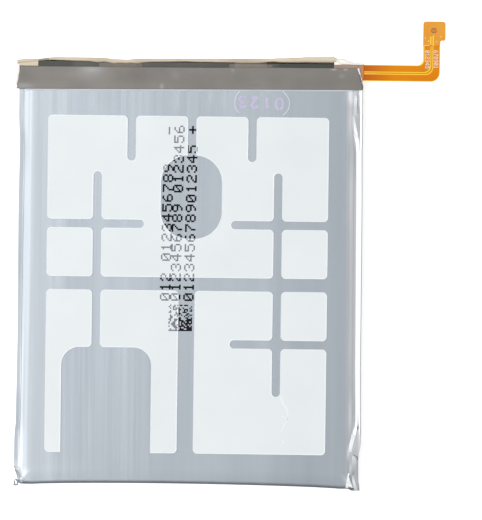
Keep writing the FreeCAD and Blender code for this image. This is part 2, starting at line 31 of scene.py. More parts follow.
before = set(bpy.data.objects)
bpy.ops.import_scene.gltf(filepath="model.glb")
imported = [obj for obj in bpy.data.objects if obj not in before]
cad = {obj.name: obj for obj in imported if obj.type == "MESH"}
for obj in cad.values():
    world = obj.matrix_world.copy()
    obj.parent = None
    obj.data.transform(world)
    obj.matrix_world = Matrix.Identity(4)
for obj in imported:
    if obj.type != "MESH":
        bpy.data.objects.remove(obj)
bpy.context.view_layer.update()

MM = 0.001
face_level = 5.2

# Photo and camera
photo_scale = 5.45  # pixels to a millimetre at the cell's face
photo_zero = (189.5, 270.0)
photo_lean = (0.0138, 0.0115)  # how far the uprights and the levels lean in the photo
photo_shift = (0.05, 1.1)
view_centre = (9.47, 3.04)
view_height = 95.41  # millimetres of the face that the photo's height takes in
view_turn = 0.01265
camera_distance = 650.0
sensor = 36.0

# Cell pouch
body_left = -31.3
body_right = 30.5
body_top = 36.0
body_bottom = -38.156
body_bow = 0.45  # the bottom fold bows in, most at this place across
bow_centre = -4.0
corner_droop = 0.25  # the bottom fold falls off near its ends
left_lean = -0.0037  # the body's sides lean this much across the sheets
right_lean = -0.0092
corner_inset = 2.8
corner_power = 0.24  # below 1 makes the body's corners squarer than a round turn
round_left = ((-28, 2), (10, 2.6))  # by the place along it, narrower towards the bottom
round_right = 1.8
round_bottom = 0.7
round_top = 1.6
back_round = 0.35
face_columns = 110
face_rows = 140
turn_steps = 14
round_steps = 16
wall_levels = 6
back_steps = 3
weld_distance = 1e-7  # in metres

# Adhesive sheets
rim_width = 0.22
rim_drop = 0.035
sheet_drop = 0.02  # the sheet's face inside its rim


def from_photo(px, py, level=face_level):
    """Place at this level, in millimetres, that a pixel of the photo shows."""
    across = px - photo_zero[0]
    down = py - photo_zero[1]
    x = (across + photo_lean[0] * down) / photo_scale + photo_shift[0]
    y = photo_shift[1] - (down - photo_lean[1] * across) / photo_scale
    away = (face_level - level) / camera_distance
    return x + (x - view_centre[0]) * away, y + (y - view_centre[1]) * away


def between(table, at):
    """Value at a place in a table of (place, value) rows in rising order, with soft turns."""
    if at <= table[0][0]:
        return table[0][1]
    for (low, before), (high, after) in zip(table, table[1:]):
        if at <= high:
            share = (at - low) / (high - low)
            share = share * share * (3.0 - 2.0 * share)
            return before + (after - before) * share
    return table[-1][1]


def spread(start, length, count):
    """Evenly spaced values over a length, with both of its ends."""
    return [start + length * i / count for i in range(count + 1)]


def add_node(tree, kind, settings=None, **inputs):
    """A node with its settings, whose inputs are values or other nodes' outputs."""
    node = tree.nodes.new(kind)
    for key, value in (settings or {}).items():
        setattr(node, key, value)
    for key, value in inputs.items():
        place = int(key[1:]) if key[1:].isdigit() else key.replace("_", " ")
        socket = node.inputs[place]
        if isinstance(value, bpy.types.NodeSocket):
            tree.links.new(value, socket)
        else:
            socket.default_value = value
    return node


def maths(tree, operation, *values, clamp=False):
    """Result of a Math node on values or other nodes' outputs."""
    settings = {"operation": operation, "use_clamp": clamp}
    inputs = {f"_{i}": value for i, value in enumerate(values)}
    return add_node(tree, "ShaderNodeMath", settings, **inputs).outputs[0]


def mix(tree, factor, first, second):
    """The first colour turned to the second as the factor goes from 0 to 1."""
    settings = {"data_type": "RGBA"}
    return add_node(tree, "ShaderNodeMix", settings, _0=factor, _6=first, _7=second).outputs[2]


def color(r, g, b):
    """Colour of the shader for a colour as it looks in the photo, from 0 to 255."""
    linear = []
    for value in (r, g, b):
        share = value / 255.0
        linear.append(share / 12.92 if share <= 0.04045 else ((share + 0.055) / 1.055) ** 2.4)
    return (*linear, 1.0)


def new_look(name, roughness, metallic=0.0, gloss=0.5):
    """A material, its node tree and its shader."""
    look = bpy.data.materials.new(name)
    look.use_nodes = True
    shader = look.node_tree.nodes["Principled BSDF"]
    shader.inputs["Roughness"].default_value = roughness
    shader.inputs["Metallic"].default_value = metallic
    shader.inputs["Specular IOR Level"].default_value = gloss
    return look, look.node_tree, shader


def pattern(tree, scale, detail=3.0, stretch=(1.0, 1.0, 1.0)):
    """Noise in the part's own coordinates, with this many features to a metre."""
    place = add_node(tree, "ShaderNodeTexCoord").outputs["Object"]
    place = add_node(tree, "ShaderNodeMapping", Vector=place, Scale=stretch).outputs[0]
    made = add_node(tree, "ShaderNodeTexNoise", Vector=place, Scale=scale, Detail=detail)
    return made.outputs["Fac"]


def ramp(tree, factor, low, high, dark, light):
    """Colour or value that goes from dark to light as the factor goes from low to high."""
    made = add_node(tree, "ShaderNodeValToRGB", Fac=factor)
    for element, position, shade in zip(made.color_ramp.elements, (low, high), (dark, light)):
        element.position = position
        element.color = shade
    return made.outputs["Color"]


def bump(tree, shader, height, strength, distance):
    made = add_node(tree, "ShaderNodeBump", Height=height, Strength=strength, Distance=distance)
    tree.links.new(made.outputs["Normal"], shader.inputs["Normal"])


grain = (0.3, 0.7)  # the part of the noise that a look's two colours take up
# Painted light: a tone of 1 paints this highlight colour, and a tone of -1 this shade colour
painted_highlight_color = (252, 253, 255)  # what a tone of 1 turns a surface to
painted_shade_color = (60, 56, 54)  # and a tone of -1
foil_metal = 0.85


def toned(tree, base):
    """The base colour with the mesh's tone painted in, and the lighter share: a tone above 0 paints a
    highlight, below 0 paints shade.
    """
    tone = add_node(tree, "ShaderNodeAttribute", {"attribute_name": "tone"}).outputs["Fac"]
    lighter = maths(tree, "MAXIMUM", tone, 0.0, clamp=True)
    darker = maths(tree, "MAXIMUM", maths(tree, "MULTIPLY", tone, -1.0), 0.0, clamp=True)
    base = mix(tree, lighter, base, color(*painted_highlight_color))
    return mix(tree, darker, base, color(*painted_shade_color)), lighter


def foil_look():
    """Satin aluminium laminate: rolled streaks along its length, and the light and shade of its folds and
    round edges painted in by the mesh's tone.
    """
    look, tree, shader = new_look("foil", 0.42, foil_metal)
    fine = pattern(tree, 1.0, 4.0, (2600.0, 22.0, 900.0))
    broad = pattern(tree, 1.0, 2.0, (230.0, 12.0, 90.0))
    streaks = mix(tree, 0.75, fine, broad)
    base = ramp(tree, streaks, 0.25, 0.75, color(151, 158, 165), color(166, 173, 179))
    base, lighter = toned(tree, base)
    # Where a highlight is painted, the foil is made less metallic, so that it shows near white
    metal = maths(tree, "MULTIPLY_ADD", lighter, -0.7, foil_metal)
    rough = ramp(tree, fine, *grain, (0.38, 0.38, 0.38, 1.0), (0.5, 0.5, 0.5, 1.0))
    for output, name in ((base, "Base Color"), (metal, "Metallic"), (rough, "Roughness")):
        tree.links.new(output, shader.inputs[name])
    bump(tree, shader, streaks, 0.06, 0.0002)
    return look


def plain_look(name, first, second, roughness, scale, metallic=0.0, gloss=0.5):
    """Two near colours mixed by noise, with a slight bump."""
    look, tree, shader = new_look(name, roughness, metallic, gloss)
    fine = pattern(tree, scale)
    base, _ = toned(tree, ramp(tree, fine, *grain, color(*first), color(*second)))
    tree.links.new(base, shader.inputs["Base Color"])
    bump(tree, shader, fine, 0.3, 0.00005)
    return look


def shaded_look(name, first, second, shade, near, far, centre=0.0, gloss=0.5):
    """Two near colours that turn to a painted shade from far to near, in metres beside a centre."""
    look, tree, shader = new_look(name, 0.38, gloss=gloss)
    base = ramp(tree, pattern(tree, 160.0), *grain, color(*first), color(*second))
    place = add_node(tree, "ShaderNodeTexCoord").outputs["Object"]
    across = add_node(tree, "ShaderNodeSeparateXYZ", Vector=place).outputs["X"]
    away = maths(tree, "ABSOLUTE", maths(tree, "SUBTRACT", across, centre))
    share = add_node(
        tree, "ShaderNodeMapRange", Value=away, From_Min=near, From_Max=far, To_Min=0.9, To_Max=0.0
    )
    base = mix(tree, share.outputs[0], base, color(*shade))
    tree.links.new(base, shader.inputs["Base Color"])
    return look


# Each plain look: its two colours, roughness, features to a metre, and where it isn't the usual
# 0 and 0.5, how metallic and how glossy it is
plain_looks = {
    "sheet": ((226, 231, 232), (231, 236, 237), 0.55, 90),
    # The sheets' brighter rim colour is a painted highlight
    "sheet_rim_highlight": ((232, 237, 242), (236, 241, 246), 0.45, 200),
    "grey_tape": ((117, 112, 107), (131, 126, 120), 0.42, 120),
    "tan_tape": ((208, 192, 168), (222, 206, 180), 0.5, 150),
    # pale_cover: the tape near white, a painted highlight where it bends over the tail
    "pale_cover": ((255, 248, 239), (255, 252, 246), 0.4, 300),
    "cover": ((152, 122, 104), (168, 136, 114), 0.4, 300),
    "tail_cover": ((192, 120, 60), (206, 132, 72), 0.4, 300),
    # olive_edge: the tan tape darkened to olive, painted shade
    "olive_edge": ((158, 146, 124), (172, 160, 138), 0.5, 300),
    "clear_film": ((240, 228, 226), (248, 238, 236), 0.35, 300),
    "film": ((255, 206, 60), (255, 216, 84), 0.35, 300, 0, 0.15),
    "thin_copper": ((212, 138, 14), (222, 146, 18), 0.4, 200, 0, 0.1),
    "stiffener": ((230, 152, 50), (236, 164, 60), 0.45, 200, 0, 0.15),
    "nickel": ((99, 92, 83), (109, 101, 92), 0.4, 500, 0.3),
    "aluminium": ((112, 105, 96), (122, 114, 105), 0.4, 500, 0.3),
    "weld_plate": ((96, 92, 84), (108, 104, 96), 0.4, 500, 0.3),
    "seal_film": ((216, 212, 200), (226, 222, 210), 0.45, 400),
    "chip": ((34, 34, 36), (44, 44, 46), 0.5, 900),
    "ceramic": ((150, 120, 96), (166, 136, 110), 0.4, 900),
    "foam": ((30, 30, 32), (44, 44, 46), 0.95, 2500),
    "housing": ((30, 30, 33), (40, 40, 43), 0.45, 900),
    "gold": ((205, 170, 90), (225, 190, 110), 0.25, 500, 0.9),
    "ink": ((8, 8, 16), (16, 16, 26), 0.6, 900, 0, 0.15),
    "faint_ink": ((118, 121, 131), (134, 137, 147), 0.55, 900, 0, 0.3),
    "stamp": ((190, 180, 212), (200, 190, 219), 0.5, 700),
    "stamp_ring": ((208, 208, 230), (218, 217, 238), 0.5, 700),
    "white_print": ((250, 228, 205), (255, 240, 220), 0.5, 700),
    "pale_dot": ((246, 190, 112), (250, 202, 128), 0.5, 700),
    "glue_edge": ((184, 193, 198), (194, 202, 206), 0.4, 300),
    "brown_print": ((156, 90, 66), (170, 102, 76), 0.5, 700),
    "crease": ((235, 239, 240), (238, 243, 244), 0.5, 200),
}
looks = {
    "foil": foil_look(),
    # Copper tracks: darker and redder towards the pack, a painted shade
    "copper": shaded_look(
        "copper", (220, 126, 8), (230, 140, 12), (190, 88, 24), 0.0315, 0.0375, gloss=0.1
    ),
    # Board: darker towards both its ends, a painted shade
    "board": shaded_look(
        "board", (58, 57, 51), (76, 75, 69), (44, 48, 42), 0.0193, 0.0183, centre=-0.003
    ),
}
for look_name, settings in plain_looks.items():
    looks[look_name] = plain_look(look_name, *settings)

node_looks = {
    "nickel": ["negative_tab"],
    "aluminium": ["positive_tab"],
    "seal_film": ["negative_tab_seal", "positive_tab_seal"],
    "board": ["protection_board"],
    "weld_plate": ["negative_weld_plate", "positive_weld_plate"],
    "chip": ["charge_switch", "discharge_switch", "protection_chip", "identity_chip"],
    "ceramic": ["sense_resistor", "thermistor", "chip_resistors", "chip_capacitors"],
    "foam": ["board_foam"],
    "film": ["flex_tail"],
    "stiffener": ["connector_stiffener"],
    "housing": ["connector_housing"],
    "gold": ["signal_contacts", "power_contacts"],
    "copper": ["negative_track", "positive_track"],
    "thin_copper": ["signal_track"],
}
for look_name, node_names in node_looks.items():
    for node_name in node_names:
        for material_slot in cad[node_name].material_slots:
            material_slot.material = looks[look_name]


def new_object(name, data):
    made = bpy.data.objects.new(name, data)
    bpy.context.collection.objects.link(made)
    return made


def new_piece(name, mesh):
    piece = new_object(name, mesh)
    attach(piece, "root")
    return piece


def add_piece(name, shape, used, smooth=False, face_looks=None, tones=None, domain="POINT"):
    """A new mesh piece of the pack, from a shape's points in millimetres and its faces."""
    points, faces = shape
    mesh = bpy.data.meshes.new(name)
    mesh.from_pydata([(x * MM, y * MM, z * MM) for x, y, z in points], [], faces)
    for look_name in used:
        mesh.materials.append(looks[look_name])
    if face_looks is not None:
        mesh.polygons.foreach_set("material_index", face_looks)
    if tones is not None:
        mesh.attributes.new("tone", "FLOAT", domain).data.foreach_set("value", tones)
    mesh.polygons.foreach_set("use_smooth", [smooth] * len(mesh.polygons))
    mesh.update()
    return new_piece(name, mesh)


def add_print(name, shapes, look):
    """A piece of one look, made of many small shapes."""
    add_piece(name, join(shapes), [look])


def set_normals(mesh, weld=False):
    """Turns every face outwards, once points in one place are joined where that is asked for."""
    work = bmesh.new()
    work.from_mesh(mesh)
    if weld:
        bmesh.ops.remove_doubles(work, verts=work.verts, dist=weld_distance)
    bmesh.ops.recalc_face_normals(work, faces=work.faces)
    work.to_mesh(mesh)
    work.free()


def net(rows, closed=False):
    """Points and faces through rows of equally many points."""
    width = len(rows[0])
    faces = []
    for r in range(len(rows) - 1):
        for c in range(width if closed else width - 1):
            a = r * width + c
            b = r * width + (c + 1) % width
            faces.append((a, b, b + width, a + width))
    return [point for row in rows for point in row], faces


def tube(loops):
    """Points and faces through closed loops of points, with both ends shut."""
    points, faces = net(loops, closed=True)
    width = len(loops[0])
    faces.append(tuple(range(width)))
    faces.append(tuple(len(points) - 1 - i for i in range(width)))
    return points, faces


def shell(rows, inner_rows):
    """Points and faces of a thin sheet between two sets of rows."""
    points, faces = net([row + inner[::-1] for row, inner in zip(rows, inner_rows)], closed=True)
    width = len(rows[0])
    last = len(points) - 2 * width
    for i in range(width - 1):
        faces.append((2 * width - 1 - i, 2 * width - 2 - i, i + 1, i))
        faces.append((last + i, last + i + 1, last + 2 * width - 2 - i, last + 2 * width - 1 - i))
    return points, faces


def slab(rows, thickness):
    """Points and faces of a thin sheet whose top goes through these rows."""
    return shell(rows, [[(x, y, z - thickness) for x, y, z in row] for row in rows])


def join(shapes):
    """One list of points and one of faces from several shapes."""
    points = []
    faces = []
    for more, tied in shapes:
        start = len(points)
        points.extend(more)
        faces.extend(tuple(start + i for i in face) for face in tied)
    return points, faces


# Soft lighter and darker patches, read from the photo: centre, reach across and down, and tone in
# hundredths. On the foil they are mostly painted highlights and shade near the edges; on the grey
# tape the lighter ones are painted highlights.
foil_patches = (
    (351.4, 95, 3, 8, 80), (350.6, 120, 2.4, 20, 35), (351, 190, 2.6, 45, 26),
    (350.6, 270, 2.6, 55, 17), (350, 350, 2.6, 45, 18), (349.8, 416, 1.8, 20, 30),
    (348, 453, 1.1, 6, 50), (25.5, 150, 2.6, 18, -15), (20.6, 440, 2.6, 15, 30),
    (20.2, 460, 2.6, 13, 35), (23, 473, 5, 4, 25), (89, 425, 3, 34, 5), (93, 100, 2.5, 11, 9),
    (177, 100, 2.5, 12, 9), (211, 97, 2.5, 10, 10), (224, 100, 2.5, 12, 8), (104, 98, 12, 7, -3),
    (60, 470, 26, 8, 3), (130, 468, 20, 8, -2), (45, 476.5, 28, 4.5, 9), (105, 476.5, 35, 4.5, 11),
    (170, 476, 32, 4.5, 12), (330, 480, 20, 4.5, 5), (19, 481.5, 3.5, 2.2, -60),
)
tape_patches = (
    (92, 69, 11, 4, 16), (88, 75, 17, 7, 10), (24, 86, 9, 3, 12), (22, 73, 8, 6, -10),
    (162, 86.5, 1.5, 2.6, 18), (334, 69.4, 2.6, 0.9, 30), (345.8, 69.4, 1.8, 0.9, 30),
    (137, 74, 10, 10, -5), (176, 74, 5, 7, 4), (162, 70, 3, 4, -5), (342, 76, 3, 2, 8),
    (233, 70, 2, 2.4, 9), (255, 85.3, 7, 1.2, -12), (268, 86, 12, 1.2, -6), (50, 80, 20, 5, -3),
    (40, 68, 22, 4, -8), (162, 68, 34, 4, -6), (280, 68.5, 42, 3.5, -7), (210, 84, 40, 4, -3),
    (300, 72, 30, 5, -4),
)
patch_reach = 3.0  # times its reach, a patch ends


def in_mm(patches):
    """A table of patches with its places and reaches in millimetres."""
    return [
        (*from_photo(px, py), across / photo_scale, down / photo_scale, tone / 100)
        for px, py, across, down, tone in patches
    ]


def patch_tone(patches, x, y):
    """Tone at a place of all the patches that reach it."""
    total = 0.0
    for cx, cy, across, down, tone in patches:
        away = ((x - cx) / across) ** 2 + ((y - cy) / down) ** 2
        if away < patch_reach**2:
            total += tone * math.exp(-away)
    return total


def pouch_bottom(x):
    """The body's bottom edge, bowed in and falling off near its ends."""
    half = (body_right - body_left) / 2.0
    share = abs(x - body_left - half) / half
    return body_bottom - body_bow * ((x - bow_centre) / half) ** 2 - corner_droop * share**9


# The field of the face inside the turns of its corners
field_left = body_left + corner_inset
field_right = body_right - corner_inset
field_top = body_top - corner_inset
field_columns = spread(field_left, field_right - field_left, face_columns)


def field_bottom(x):
    return pouch_bottom(x) + corner_inset


def field_rows(x):
    low = field_bottom(x)
    return spread(low, field_top - low, face_rows)


def rim_stations():
    """Places round the field, anticlockwise: a point, the way out to the rim, the round's size."""
    stations = []

    def turn(x, y, start, size_from, size_to):
        for share in spread(0.0, 1.0, turn_steps)[1:-1]:
            angle = math.radians(start + 90.0 * share)
            size = size_from + (size_to - size_from) * share
            out = math.cos(angle), math.sin(angle)
            out = [math.copysign(abs(part) ** corner_power, part) for part in out]
            stations.append((x, y, *out, size))

    left, right, top = field_left, field_right, field_top
    stations += [(x, field_bottom(x), 0.0, -1.0, round_bottom) for x in field_columns]
    turn(right, field_bottom(right), -90.0, round_bottom, round_right)
    stations += [(right, y, 1.0, 0.0, round_right) for y in field_rows(right)]
    turn(right, top, 0.0, round_right, round_top)
    stations += [(x, top, 0.0, 1.0, round_top) for x in reversed(field_columns)]
    turn(left, top, 90.0, round_top, between(round_left, top))
    stations += [(left, y, -1.0, 0.0, between(round_left, y)) for y in reversed(field_rows(left))]
    turn(left, field_bottom(left), 180.0, round_left[0][1], round_bottom)
    return stations


def round_profile():
    """A round edge of size 1, soft at the face: rows of inset from the wall and drop."""
    places = [(0.0, 0.0)]
    for k in range(1, round_steps * 4 + 1):
        share = (k - 0.5) / (round_steps * 4)
        angle = math.radians(90.0) * (0.25 * share + 0.75 * share**2.5)
        x, z = places[-1]
        places.append((x + math.cos(angle), z + math.sin(angle)))
    width = places[-1][0]
    return [(1.0 - x / width, z / width) for x, z in places[::4]]


soft_round = round_profile()


def lean(x, y):
    """Where a place of the straight body goes once its two sides lean."""
    share = (x - body_left) / (body_right - body_left)
    return x + y * (left_lean + (right_lean - left_lean) * share)


def straighten(x, y):
    """The place of the straight body that lean() brings to this one."""
    slope = (right_lean - left_lean) / (body_right - body_left)
    return (x - y * left_lean + y * slope * body_left) / (1.0 + y * slope)


def body_level(x, y):
    """Level of the body's face or round edges at a place, or None beside the body."""
    straight = straighten(x, y)
    level = face_level
    for inset, size in (
        (straight - body_left, between(round_left, y)),
        (body_right - straight, round_right),
        (y - pouch_bottom(straight), round_bottom),
    ):
        if inset < 0.0:
            return None
        drops = [(step * size, -drop * size) for step, drop in reversed(soft_round)]
        level = min(level, face_level + between(drops, inset))
    return level


def pouch_body():
    """The drawn body of the pouch: face, round edges, walls and back."""
    profile_rows = []
    for x, y, out_x, out_y, size in rim_stations():
        steps = [(corner_inset, face_level)]
        steps += [(inset * size, face_level - drop * size) for inset, drop in soft_round]
        wall_high = steps[-1][1]
        steps += [(0.0, z) for z in spread(wall_high, back_round - wall_high, wall_levels)[1:]]
        for angle in spread(0.0, 90.0, back_steps)[1:]:
            angle = math.radians(angle)
            inset, z = 1.0 - math.cos(angle), 1.0 - math.sin(angle)
            steps.append((back_round * inset, back_round * z))
        outs = [(corner_inset - inset, z) for inset, z in steps]
        profile_rows.append([(lean(x + out_x * out, y), y + out_y * out, z) for out, z in outs])
    rings = list(zip(*profile_rows))
    points, faces = net(rings, closed=True)
    back = range(len(points) - len(rings[0]), len(points))
    faces = [face[::-1] for face in faces] + [tuple(reversed(back))]
    columns = [[(lean(x, y), y, face_level) for y in field_rows(x)] for x in field_columns]
    shape = join([(points, faces), net(list(zip(*columns)))])
    piece = add_piece("pouch_body", shape, ["foil"], smooth=True)
    set_normals(piece.data, weld=True)
    shade_body(piece.data)
    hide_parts("cell_pouch")


# Tones of the foil by the distance from the body's edges, and where on its round edges they begin:
# painted highlights on the side round edges and painted shade along the bottom fold
toned_from = 3.0
side_levels = ((3, 0), (4.2, 1))
end_levels = ((4.55, 0), (4.8, 1))
left_tone = ((0, 0.5), (0.45, 0.45), (0.75, 0.32), (0.95, 0), (1.2, -0.07), (1.6, 0))
left_band = (  # by the distance as a share of the round edge's width
    (0.6, 0), (0.78, 0.12), (0.9, 0.12), (1, 0.1), (1.15, 0.06), (3, 0.06), (3.6, 0),
)
right_tone = ((0, 0.6), (0.4, 0.6), (0.9, 0.4), (1.4, 0.2), (1.9, 0))
bottom_tone = ((0, -0.4), (0.2, -0.3), (0.45, -0.2), (0.8, -0.08), (1.3, 0))
wave_levels = ((4.7, 0), (5.2, 1))
wave_depth = 0.012


def shade_body(mesh):
    """Tones of the foil near the body's edges, painted highlights and shade, and its slight waves."""
    attribute = mesh.attributes.new("tone", "FLOAT", "POINT")
    patches = in_mm(foil_patches)
    for vertex in mesh.vertices:
        x, y, z = (value / MM for value in vertex.co)
        straight = straighten(x, y)
        from_left = straight - body_left
        tone = 0.0
        if z > toned_from:
            side = between(side_levels, z)
            tone += side * between(left_tone, from_left)
            tone += side * between(left_band, from_left / between(round_left, y))
            tone += side * between(right_tone, body_right - straight)
            tone += between(end_levels, z) * between(bottom_tone, y - pouch_bottom(straight))
            tone += patch_tone(patches, x, y)
        attribute.data[vertex.index].value = max(-1.0, min(1.0, tone))
        wave = noise.noise(Vector((x * 0.05, y * 0.03, 3.0)))
        vertex.co.z -= (wave_depth + wave_depth * wave) * between(wave_levels, z) * MM


# Side seams, read from the photo. Each row is a height in the photo, the crease lines from the
# body to the outer edge (tenths of a pixel from the seam's start), the levels of those lines and
# the tones of the facets below that row (hundredths), which paint highlights and shade on the
# facets. At level 0 the line lies on the body's round edge. None stands for what the row above has,
# and a single level is for all lines.
right_seam = (
    (88, (132, 152, 163, 180, 194, 225, 233), (0, 483, 485, 479, 462, 468, 459), (90, 5, 60, 80, 95, 60)),
    (93, (132, 150, 162, 181, 196, 225, 233), None, None),
    (98, (128, 148, 176, 183, 198, 223, 232), (0, 488, 494, 476, 462, 468, 459), (85, 30, 35, 75, 95, 60)),
    (105, (128, 144, 169, 183, 201, 222, 231), (0, 490, 493, 476, 462, 466, 457), (85, 30, 40, 75, 95, 60)),
    (110.7, (124, 135, 172, 192, 203, 222, 231),
     (0, 494, 493, 475, 463, 466, 457), (85, 50, 50, 75, 95, 60)),
    (114.5, (124, 138, 170, 198, 204, 222, 231),
     (0, 494, 491, 472, 463, 466, 457), (85, 50, 65, 65, 95, 50)),
    (117.5, (118, 130, 148, 198, 204, 222, 230), (0, 0, 491, 468, 462, 466, 457), (100, 80, 55, 60, 95, 40)),
    (126, (116, 128, 163, 199, 204, 222, 229), (0, 0, 488, 466, 461, 466, 457), (90, 100, 55, 60, 95, 35)),
    (135, (124, 140, 180, 197, 203, 222, 229), (0, 0, 480, 466, 461, 464, 457), (80, 100, 60, 70, 95, 30)),
    (143, (132, 158, 190, 196, 203, 220, 227),
     (0, 464, 473, 468, 459, 464, 457), (70, 100, 100, 100, 100, 10)),
    (152, (134, 164, 177, 190, 203, 218, 225),
     (0, 460, 460, 460, 460, 460, 455), (55, 100, 100, 100, 100, 10)),
    (200, (132, 163, 176, 190, 203, 218, 225), None, (72, 100, 100, 100, 100, 25)),
    (290, (124, 156, 169, 182, 196, 209, 216), None, None),
    (370, (118, 150, 162, 174, 186, 199, 206), None, None),
    (412, (116, 152, 162, 176, 188, 199, 207), None, (60, 100, 100, 100, 100, 40)),
    (422, (116, 152, 169, 180, 188, 198, 207),
     (0, 464, 466, 462, 459, 462, 455), (65, 100, 100, 100, 95, 40)),
    (425, (116, 152, 170, 180, 188, 198, 207), (0, 475, 486, 470, 459, 464, 455), (65, 100, 60, 70, 95, 40)),
    (427.4, (112, 143, 166, 183, 189, 198, 207),
     (0, 480, 490, 472, 462, 465, 455), (65, 95, 10, 70, 95, 40)),
    (430, (108, 134, 164, 173, 188, 198, 207), (0, 484, 493, 477, 464, 466, 455), (75, 100, 60, 95, 95, 40)),
    (435, (102, 118, 154, 172, 187, 197, 206), (0, 0, 503, 487, 468, 467, 455), (80, 100, 66, 95, 92, 60)),
    (444, (78, 90, 128, 170, 182, 195, 204), (0, 515, 513, 498, 475, 466, 452), (70, 100, 60, 75, 95, 80)),
    (450.7, (72, 86, 112, 166, 176, 186, 194), (0, 518, 517, 498, 477, 466, 450), (70, 90, 55, 70, 90, 80)),
    (453.4, (80, 112, 132, 152, 166, 176, 184), (0, 0, 498, 493, 485, 466, 450), (65, 20, 55, 58, 80, 50)),
    (454.6, (80, 112, 132, 152, 166, 174, 182), (0, 0, 495, 490, 482, 464, 448), (60, 70, 0, 65, 80, 30)),
    (455.8, None, (0, 0, 493, 488, 480, 462, 445), (60, 90, 60, -10, 50, 20)),
    (457, None, (0, 0, 492, 486, 478, 460, 442), (60, 85, 75, 50, -30, 10)),
    (458.4, (82, 110, 130, 150, 164, 173, 181), (0, 0, 492, 486, 476, 460, 440), (60, 80, 70, 75, 20, 10)),
    (460, (83, 108, 128, 148, 162, 172, 180), (0, 0, 493, 487, 476, 460, 438), (60, 80, 65, 75, 60, 30)),
    (465, (82, 104, 124, 144, 158, 170, 180), (0, 0, 493, 489, 480, 460, 432), (75, 70, 40, 60, 55, 30)),
    (473, (78, 98, 118, 144, 158, 170, 180), (0, 0, 488, 488, 475, 455, 420), (50, 60, 25, 55, 50, 30)),
    (476, (72, 82, 116, 130, 158, 170, 180), (526, 528, 490, 488, 473, 455, 414), (75, 35, 80, 50, 50, 30)),
    (481, (62, 98, 120, 146, 160, 171, 180), (526, 528, 490, 485, 477, 450, 396), (70, 30, 100, 50, 50, 30)),
    (486.2, (54, 120, 128, 160, 169, 179, 189),
     (526, 522, 470, 460, 450, 390, 320), (100, 30, 100, 50, 50, 20)),
    (487.6, (52, 126, 132, 164, 172, 181, 190),
     (450, 440, 410, 410, 420, 360, 300), (-50, 0, 95, 30, 20, 0)),
    (489.2, (85, 130, 136, 167, 176, 185, 192),
     (390, 380, 360, 360, 360, 320, 260), (-50, -40, 70, 20, 10, 0)),
    (490.6, (110, 150, 158, 166, 180, 188, 194), (290, 280, 280, 280, 280, 240, 180), (0, 0, 0, 0, 0, 0)),
)
left_seam = (
    (86, (240, 232, 218, 204, 192), 484, (15, 8, 3, 20)),
    (97, None, 484, (15, 4, -3, 10)),
    (115, (240, 232, 218, 204, 191), 484, (20, 8, -5, 0)),
    (124, (240, 232, 218, 204, 193), 486, (10, 0, -6, 0)),
    (135, (242, 232, 220, 208, 197), 490, (-5, -10, -10, 0)),
    (165, (242, 232, 220, 206, 194), 490, None),
    (185, (240, 228, 214, 200, 189), 490, (5, -4, -7, 0)),
    (200, (238, 225, 211, 196, 185), 490, (8, -4, -6, 2)),
    (225, (232, 220, 206, 192, 182), 490, (10, -6, -10, 0)),
    (260, (226, 216, 204, 190, 179), 489, (10, -10, -17, -4)),
    (290, (220, 210, 198, 188, 177), 490, (15, -2, -6, 4)),
    (320, (216, 208, 196, 186, 175), 492, (20, 5, 0, 6)),
    (350, (212, 203, 192, 181, 170), 493, (20, 7, 2, 6)),
    (380, (208, 199, 187, 176, 163), 495, (20, 8, 2, 6)),
    (400, (204, 195, 183, 171, 158), 495, (15, 0, -8, -5)),
    (415, (200, 191, 180, 168, 156), 494, (15, -4, -13, -8)),
    (425, (196, 187, 175, 163, 151), 492, (12, -4, -15, -8)),
    (432, (194, 183, 171, 156, 143), 489, (35, 8, -8, -6)),
    (440, (194, 183, 171, 154, 139), 488, (42, 12, -4, -6)),
    (455, (194, 183, 170, 153, 137), 488, (45, 14, -4, -6)),
    (466, (194, 183, 169, 151, 133), (488, 488, 487, 486, 483), (45, 20, 5, 5)),
    (470, (204, 189, 173, 157, 144), (486, 485, 482, 478, 472), (45, 25, 15, 10)),
    (474, (214, 200, 186, 171, 159), (480, 477, 470, 462, 452), (12, 15, 25, 30)),
    (478, (222, 210, 195, 180, 170), (462, 452, 440, 425, 405), (-30, -35, -40, -45)),
    (482, (226, 214, 198, 182, 172), (380, 360, 340, 300, 260), (0, -10, -20, -20)),
)
right_seam_start = 340
left_seam_start = 0
seam_step = 1.5  # pixels of the photo between the seams' made rows
seam_foot_gap = 0.1
seam_foot_width = 0.35
seam_lap = 0.2  # thickness of the folded laminate's edge
seam_lift = 0.08
seam_turn = 1.3  # the outer side turns down within these depths
seam_stand = 1.8
seam_over_body = 0.06  # where the seam's folds lie on the body's round edge
# The seam's outer lap is a little darker: painted shade
seam_side_tone = -0.1


def full_rows(table, start):
    """The rows of a seam's table in full, with lines in pixels and levels in millimetres."""
    rows = []
    full = table[0]
    for row in table:
        full = [above if value is None else value for value, above in zip(row, full)]
        height, lines, levels, tones = full
        if not isinstance(levels, tuple):
            levels = (levels,) * len(lines)
        lines = [(start * 10 + px) / 10 for px in lines]
        rows.append((height, lines, [z / 100 for z in levels], [tone / 100 for tone in tones]))
    return rows


def between_rows(rows):
    """The rows with more between them, so that folds and tones run on softly along the seam."""
    made = []
    for row, following in zip(rows, rows[1:]):
        steps = max(1, round((following[0] - row[0]) / seam_step))
        for k in range(steps):
            share = k / steps
            soft = share * share * (3.0 - 2.0 * share)
            lines, levels, tones = (list(zip(a, b)) for a, b in zip(row[1:], following[1:]))
            made.append(
                (
                    row[0] + (following[0] - row[0]) * share,
                    [a + (b - a) * share for a, b in lines],
                    [max(a, b) if 0 in (a, b) else a + (b - a) * share for a, b in levels],
                    [a + (b - a) * soft for a, b in tones],
                )
            )
    made.append(rows[-1])
    return made


